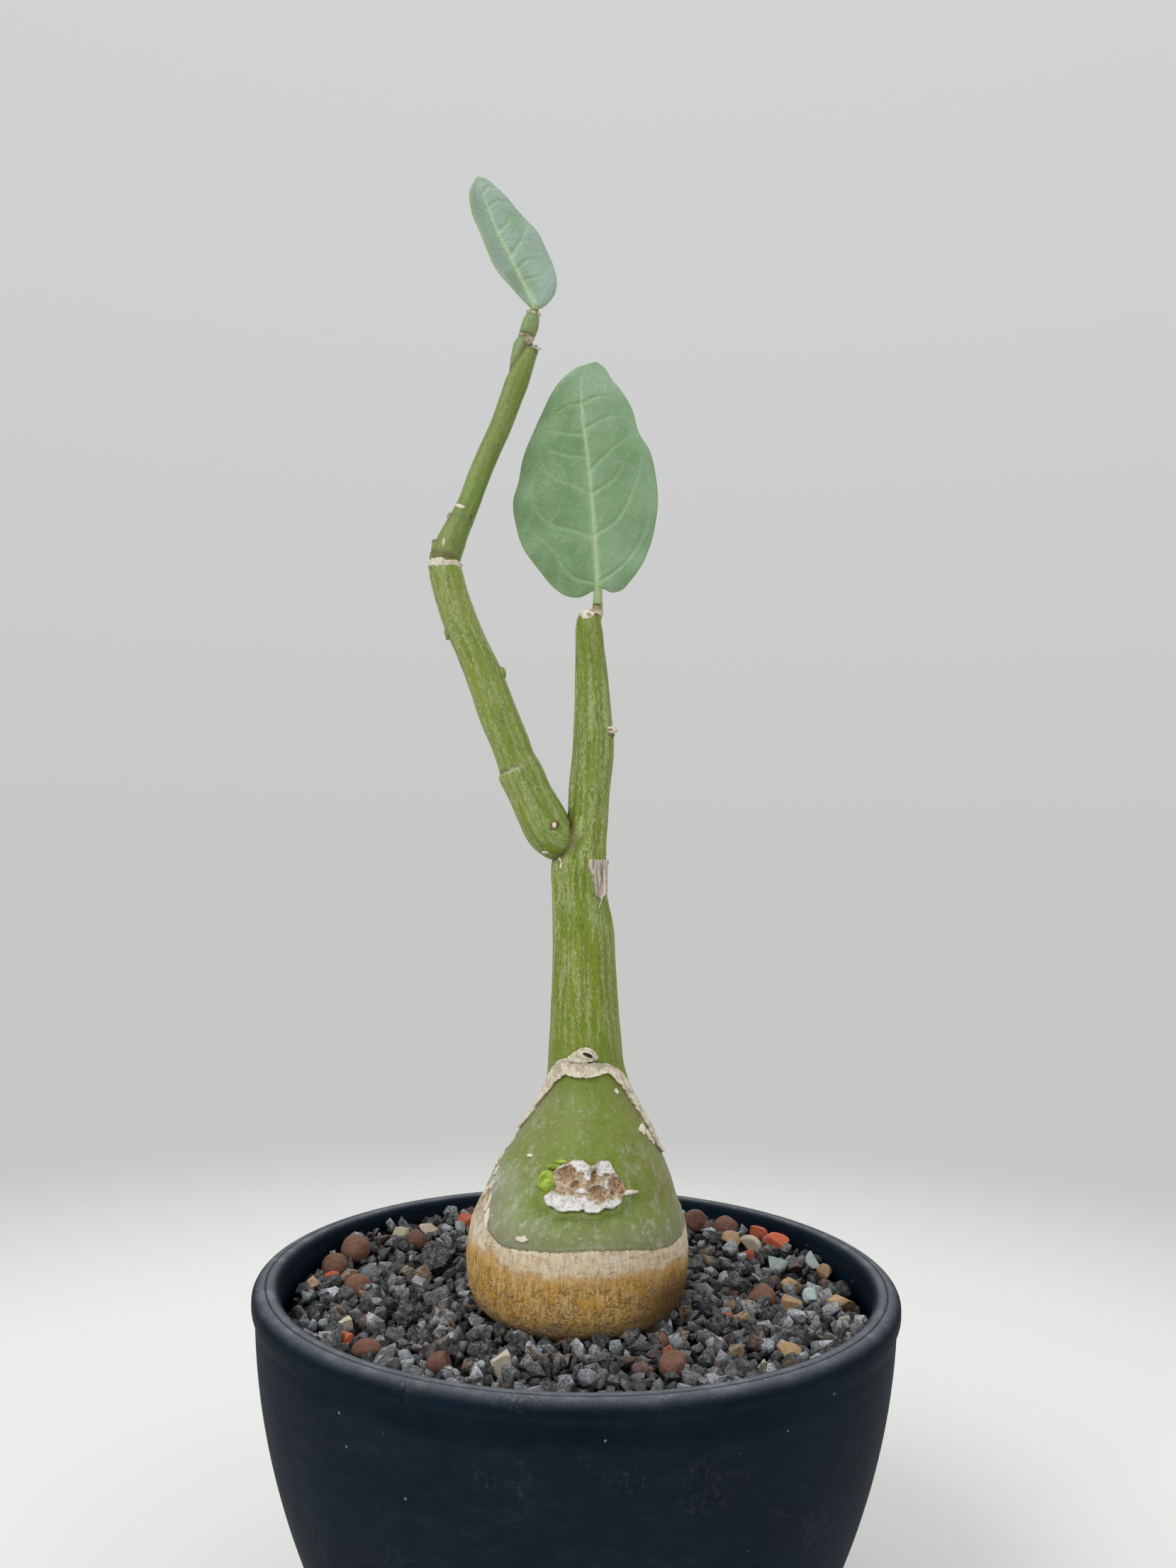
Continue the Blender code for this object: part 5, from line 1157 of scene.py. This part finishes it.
def make_leaf(name, node, leaf, paint, seed):
    """A blade with its ribs, folds and waves, and the short stalk below it."""
    along, across, share = blade_grid(leaf)
    reach, left = np.abs(share), share < 0
    middle = LEAF_COLUMNS // 2
    beside = across - across[:, middle, None]
    length = along / along[-1, middle]
    vein = vein_field(leaf, along, across)
    rib = np.exp(-(beside / (0.75 - 0.50 * np.clip(length, 0, 1))) ** 2) * step(1.02, 0.80, length)
    grain = stack(along, across, seed * 7.0)
    bend = np.where(left, *leaf["folds"]) * reach * np.abs(beside)
    bend = bend + leaf["wave"] * reach ** 2 * np.sin(leaf["wave_rate"] * along + np.where(left, 1.0, 2.4))
    bend = bend + 0.35 * rough(grain, 0.11, seed) + 0.10 * rough(grain, 0.35, seed + 1)
    bend = bend - 0.42 * np.clip(1 - vein * 1.6 - rib, 0, 1) * (1 - reach ** 6) + 0.22 * vein
    half = BLADE_THICKNESS / 2 * np.sqrt(np.clip(1 - reach ** 8, 0.02, 1))
    front = bend - half - 0.16 * rib - 0.05 * vein
    back = bend + half + (MIDRIB_THICKNESS - BLADE_THICKNESS) * rib * (1 - 0.6 * length) + 0.16 * vein
    turn = math.radians(leaf["lean"])
    x = across * math.cos(turn) - along * math.sin(turn)
    z = across * math.sin(turn) + along * math.cos(turn)
    points = there_and_back(stack(x, front, z), stack(x, back, z)) + leaf["base"]
    base, dark, pale = leaf["colours"]
    cloud = rough(grain, 0.07, seed + 2, 3)
    # Painted shade of the fold: the left half darkens towards the dark colour, with random cloud mixed in.
    tint = blend(np.clip(0.75 * step(0.10, -0.35, share) + 0.6 * cloud, 0, 1), base, dark)
    # More painted fold shade along the middle of the left half.
    painted_fold_shade = step(-0.98, -0.62, share) * step(0.02, -0.14, share) * step(0.12, 0.32, length)
    painted_fold_shade = painted_fold_shade * step(0.90, 0.72, length) * (0.75 + 0.6 * cloud)
    tint = blend(np.clip(0.50 * painted_fold_shade, 0, 1), tint, dark)
    # Paler towards the tip, as painted light, and paler towards the margins.
    tint = blend(0.7 * step(0.78, 0.95, length) + 0.30 * step(0.6, 1.0, reach), tint, pale)
    shade = 0.55 * step(0.965, 1.0, reach)
    if leaf["folds"][0] < 0:
        shade = shade + 0.45 * step(-0.80, -0.93, share)
    ribs = np.maximum(vein, rib)
    values = {
        "grain": there_and_back(grain, grain), "tint": there_and_back(tint, blend(0.35, tint, pale)),
        "vein": there_and_back(ribs, ribs), "shade": there_and_back(shade, shade),
    }
    blade = piece(name, points, tube_faces(len(points), 2 * (LEAF_COLUMNS + 1)), paint, values)
    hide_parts(node)

    sides, rings = 28, 14
    stalk = np.array(leaf["stalk"], float)
    low, high = stalk[0, 2], stalk[-1, 2]
    fine = through(stalk[:, 2], stalk, np.linspace(low, high, rings))
    ring = stack(*circle(sides)[1:], 0.0)
    points = fine[:, None, :3] + ring * fine[:, 3, None, None]
    points = points + 0.06 * rough(points, 0.9, seed + 5)[..., None] * ring
    values = {"grain": points, "tint": (0.30, 0.40, 0.16), "vein": 0.35,
              "shade": 0.4 * step(2.0, 0.0, points[..., 2] - low)}
    piece(name + "_stalk", points, tube_faces(rings, sides), paint, values)


# Potting mix

def soil_height(x, y):
    share = step(SOIL_RISE_FROM, SOIL_RISE_TO, y)
    outward = np.minimum(1.0, np.hypot(x, y) / SOIL_RISE_RADIUS)
    return POT_HEIGHT - SOIL_DEPTH + SOIL_RISE * share * outward ** 2


def make_bed(paint):
    """The body of the mix under the grains, with a hole for the caudex. Its black is painted shade in the
    gaps between the grains.
    """
    sides = 144
    hole = turned(MIX_HOLE, sides)
    top = turned([(radius, 0.0) for radius in np.linspace(*MIX_RADII, 34)], sides)
    top[..., 2] = soil_height(top[..., 0], top[..., 1]) - MIX_DROP + 0.5 * rough(top, 0.4, 71, 3)
    top[0, :, 2] -= 0.6
    radii, depths = np.array(inner_profile()).T
    low = [(np.interp(depth, depths, radii) - PIECE_GAP, POT_HEIGHT - depth) for depth in MIX_DEPTHS]
    low.append((FLOOR_RADIUS - PIECE_GAP, FLOOR_THICKNESS + PIECE_GAP))
    points = np.concatenate([hole, top, turned(low, sides)])
    # Black tint: painted shade seen through the gaps between the grains.
    values = {"grain": points, "tint": (0.0, 0.0, 0.0), "pores": 0.0}
    bed = piece("mix_bed", points, tube_faces(len(points), sides), paint, values)
    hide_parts("substrate")


def base_shapes(rng, count, cuts, uneven):
    """Pebbles: balls trimmed by random planes and roughened. Returns each one's points and faces."""
    whole, faces = ball(4)
    shapes = []
    for i in range(count):
        points = whole
        for _ in range(cuts):
            way = unit([rng.gauss(0, 1) for _ in range(3)])
            over = points @ way - rng.uniform(0.34, 0.74)
            points = points - np.clip(over, 0, None)[:, None] * way
        bumps = uneven * (rough(points, 1.7, 80 + i, 3) + 0.5 * rough(points, 4.5, 90 + i, 3))
        shapes.append((points * (1 + bumps)[:, None], faces))
    return shapes


def chip_shapes(rng, count):
    """Crushed chips with flat faces: hulls of a few random points. Returns each one's points and faces."""
    shapes = []
    for _ in range(count):
        bm = bmesh.new()
        for _ in range(rng.randint(10, 16)):
            way = Vector([rng.gauss(0, 1) for _ in range(3)]).normalized()
            bm.verts.new(way * rng.uniform(0.70, 1.0))
        bmesh.ops.convex_hull(bm, input=bm.verts)
        bmesh.ops.delete(bm, geom=[vert for vert in bm.verts if not vert.link_faces], context="VERTS")
        bmesh.ops.triangulate(bm, faces=bm.faces)
        shapes.append(arrays(bm))
    return shapes


def random_turn(rng):
    return np.array(Quaternion([rng.gauss(0, 1) for _ in range(4)]).normalized().to_matrix())


def grain_tint(rng):
    """Mostly dark to blue-grey lava, with some brown, tan, brick and pale grains."""
    draw = rng.random()
    level = rng.uniform(0.55, 1.55)
    for limit, colour in GRAIN_COLOURS:
        if draw < limit:
            return [level * c for c in colour]
    return [(0.04 + 0.60 * level ** 3.2) * c for c in (0.190, 0.196, 0.212)]


def grain_places(rng):
    """x, y, height and half width of each grain, in two loose layers round the stones."""
    _, stone_x, stone_y, stone_half, _ = zip(*placed_stones())
    inner, outer = GRAIN_RADII
    count = int(70 / GRAIN_SPACING) + 2
    spots = []
    for row in range(-count, count + 1):
        for column in range(-count, count + 1):
            x = GRAIN_SPACING * (column + 0.5 * (row % 2)) + rng.uniform(-0.7, 0.7)
            y = GRAIN_SPACING * 0.866 * row + rng.uniform(-0.7, 0.7)
            spots.append((x, y, rng.uniform(-1.0, 0.4), rng.uniform(1.5, 2.5)))
    for _ in range(TOP_GRAINS):
        radius, turn = 67.0 * math.sqrt(rng.uniform(0.12, 1.0)), rng.uniform(0, 2 * math.pi)
        lift, half = rng.uniform(0.5, 1.2), rng.uniform(1.2, 3.0)
        spots.append((radius * math.cos(turn), radius * math.sin(turn), lift, half))
    kept = []
    for x, y, lift, half in spots:
        far = np.hypot(np.subtract(stone_x, x), np.subtract(stone_y, y))
        clear = (far >= np.multiply(stone_half, 0.86) + 0.25 * half).all()
        if clear and inner + 0.6 * half < math.hypot(x, y) < outer - half:
            kept.append((x, y, float(soil_height(x, y)) + lift, half))
    return kept


def placed_stones():
    """The stones, held clear of the pot's wall."""
    placed = []
    for kind, x, y, half, tall in STONES:
        inward = min(1.0, (LIP_INNER_RADIUS - STONE_MARGIN - half) / math.hypot(x, y))
        placed.append((kind, x * inward, y * inward, half, tall))
    return placed


def gather(name, parts, paint, chips=False):
    """One mesh from parts, each with points, faces, tint and pores. Chips are flat, with painted shade low
    down and painted light on their tops.
    """
    points, faces, tints, pores = zip(*parts)
    sizes = [len(part) for part in points]
    starts = np.cumsum([0, *sizes])
    faces = np.concatenate([part + start for part, start in zip(faces, starts)])
    points = np.concatenate(points)
    tints, pores = np.repeat(tints, sizes, axis=0), np.repeat(pores, sizes)
    if chips:
        # Painted shade and light: chips darken to near black low in the bed and grow brighter than their tint
        # on top.
        painted_light = step(-0.7, 3.0, points[:, 2] - soil_height(points[:, 0], points[:, 1]))
        tints = tints * (0.04 + 1.50 * painted_light)[:, None]
        pores = pores * (0.04 + 0.96 * painted_light)
    values = {"grain": points, "tint": tints, "pores": pores}
    piece(name, points, faces, paint, values, smooth=not chips)


def make_grains(paint):
    rng = random.Random(11)
    shapes = chip_shapes(rng, 60)
    spots = grain_places(rng)
    rng.shuffle(spots)
    third = len(spots) // 3 + 1
    for group in range(3):
        parts = []
        for x, y, z, half in spots[group * third:(group + 1) * third]:
            shape, faces = rng.choice(shapes)
            shape = shape * (1.0, rng.uniform(0.62, 0.95), rng.uniform(0.55, 0.85))
            shape = shape @ random_turn(rng).T * half * GRAIN_STRETCH + (x, y, z)
            parts.append((shape, faces, grain_tint(rng), rng.uniform(0.5, 1.0)))
        gather(f"grit_{group}", parts, paint, chips=True)


def make_stones(paint):
    rng = random.Random(5)
    kinds = {kind: base_shapes(rng, *row) for kind, row in STONE_SHAPES.items()}
    parts = []
    for kind, x, y, half, tall in placed_stones():
        shape, faces = rng.choice(kinds[kind])
        turn = rng.uniform(0, math.pi)
        sizes = (half, half * rng.uniform(0.72, 0.92), tall)
        shape = shape * 1.08 / np.abs(shape).max(axis=0) * sizes
        shape = shape @ np.array(Matrix.Rotation(turn, 3, "Z")).T
        level = rng.uniform(0.80, 1.25)
        tint = [level * c for c in STONE_COLOURS[kind]]
        centre = (x, y, soil_height(x, y) + STONE_LIFT * tall)
        parts.append((shape + centre, faces, tint, {"grit": 1.0, "clay": 0.10}.get(kind, 0.06)))
    gather("stones", parts, paint)


# Stage

def make_floor():
    """A pale floor that fades out to clear at its edge."""
    bm = bmesh.new()
    bmesh.ops.create_grid(bm, x_segments=1, y_segments=1, size=FLOOR_SIZE)
    mesh = bpy.data.meshes.new("floor")
    bm.to_mesh(mesh)
    bm.free()
    p = Paint("pale_floor")
    p.shader.inputs["Base Color"].default_value = (*FLOOR_COLOUR, 1.0)
    p.shader.inputs["Roughness"].default_value = 0.9
    place = Flow(p.tree, "TexCoord", {}, "Object")
    far = place.then("VectorMath", {0: place}, "Value", operation="LENGTH")
    clear = far.then("BsdfTransparent", {})
    faded = far.then("MixShader", {0: far.ramp(*FLOOR_FADE), 2: clear})
    p.tree.links.new(p.shader.outputs[0], faded.socket.node.inputs[1])
    p.tree.links.new(faded.socket, p.tree.nodes["Material Output"].inputs["Surface"])
    mesh.materials.append(p.made)
    floor = bpy.data.objects.new("floor", mesh)
    floor.location = (0.0, 0.0, -0.0002)
    bpy.context.scene.collection.objects.link(floor)


def make_stage():
    make_floor()
    world = bpy.data.worlds.new("pale_room")
    world.use_nodes = True
    tree = world.node_tree
    sky = tree.nodes.new("ShaderNodeValToRGB")
    for element, at, colour in zip(sky.color_ramp.elements, (0.0, 0.9), (HORIZON_COLOUR, ZENITH_COLOUR)):
        element.position = at
        element.color = (*colour, 1.0)
    height = Flow(tree, "TexCoord", {}, "Generated").part(2)
    tree.links.new(height.socket, sky.inputs[0])
    tree.links.new(sky.outputs[0], tree.nodes["Background"].inputs["Color"])
    tree.nodes["Background"].inputs["Strength"].default_value = SKY_STRENGTH
    bpy.context.scene.world = world
    bpy.context.scene.view_settings.view_transform = "Standard"
    for name, place, size, power, colour in LIGHTS:
        light = bpy.data.lights.new(name, "AREA")
        light.size = size
        light.energy = power
        light.color = colour
        lamp = bpy.data.objects.new(name, light)
        lamp.location = place
        lamp.rotation_euler = (Vector(LAMP_AIM) - Vector(place)).to_track_quat("-Z", "Y").to_euler()
        bpy.context.scene.collection.objects.link(lamp)


def make_camera():
    """The photograph's view: 300 mm in front, a little above the rim, tilted up and slightly rolled."""
    data = bpy.data.cameras.new("camera")
    data.lens = CAMERA_LENS
    data.sensor_width = CAMERA_WIDTH
    camera = bpy.data.objects.new("camera", data)
    tilt = Matrix.Rotation(math.radians(CAMERA_TILT), 4, "X")
    roll = Matrix.Rotation(math.radians(CAMERA_ROLL), 4, "Z")
    camera.matrix_world = Matrix.Translation(CAMERA_PLACE) @ tilt @ roll
    bpy.context.scene.collection.objects.link(camera)
    bpy.context.scene.camera = camera


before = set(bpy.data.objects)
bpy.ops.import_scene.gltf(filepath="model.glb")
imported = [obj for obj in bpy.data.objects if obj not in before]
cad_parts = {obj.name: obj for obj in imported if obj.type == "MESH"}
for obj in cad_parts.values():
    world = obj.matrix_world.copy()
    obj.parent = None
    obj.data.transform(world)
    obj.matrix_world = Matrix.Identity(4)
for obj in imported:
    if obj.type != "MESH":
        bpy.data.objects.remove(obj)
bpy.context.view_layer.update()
make_camera()
make_stage()
make_pot(pot_paint())
make_stems(stem_paint(), bark_paint(), fibre_paint(), crust_paint())
leaf_made = leaf_paint()
make_leaf("blade_right", "leaf_right", RIGHT_LEAF, leaf_made, 1)
make_leaf("blade_left", "leaf_left", LEFT_LEAF, leaf_made, 2)
grit_made = grit_paint()
make_bed(grit_made)
make_grains(grit_made)
make_stones(grit_made)
bpy.context.view_layer.update()
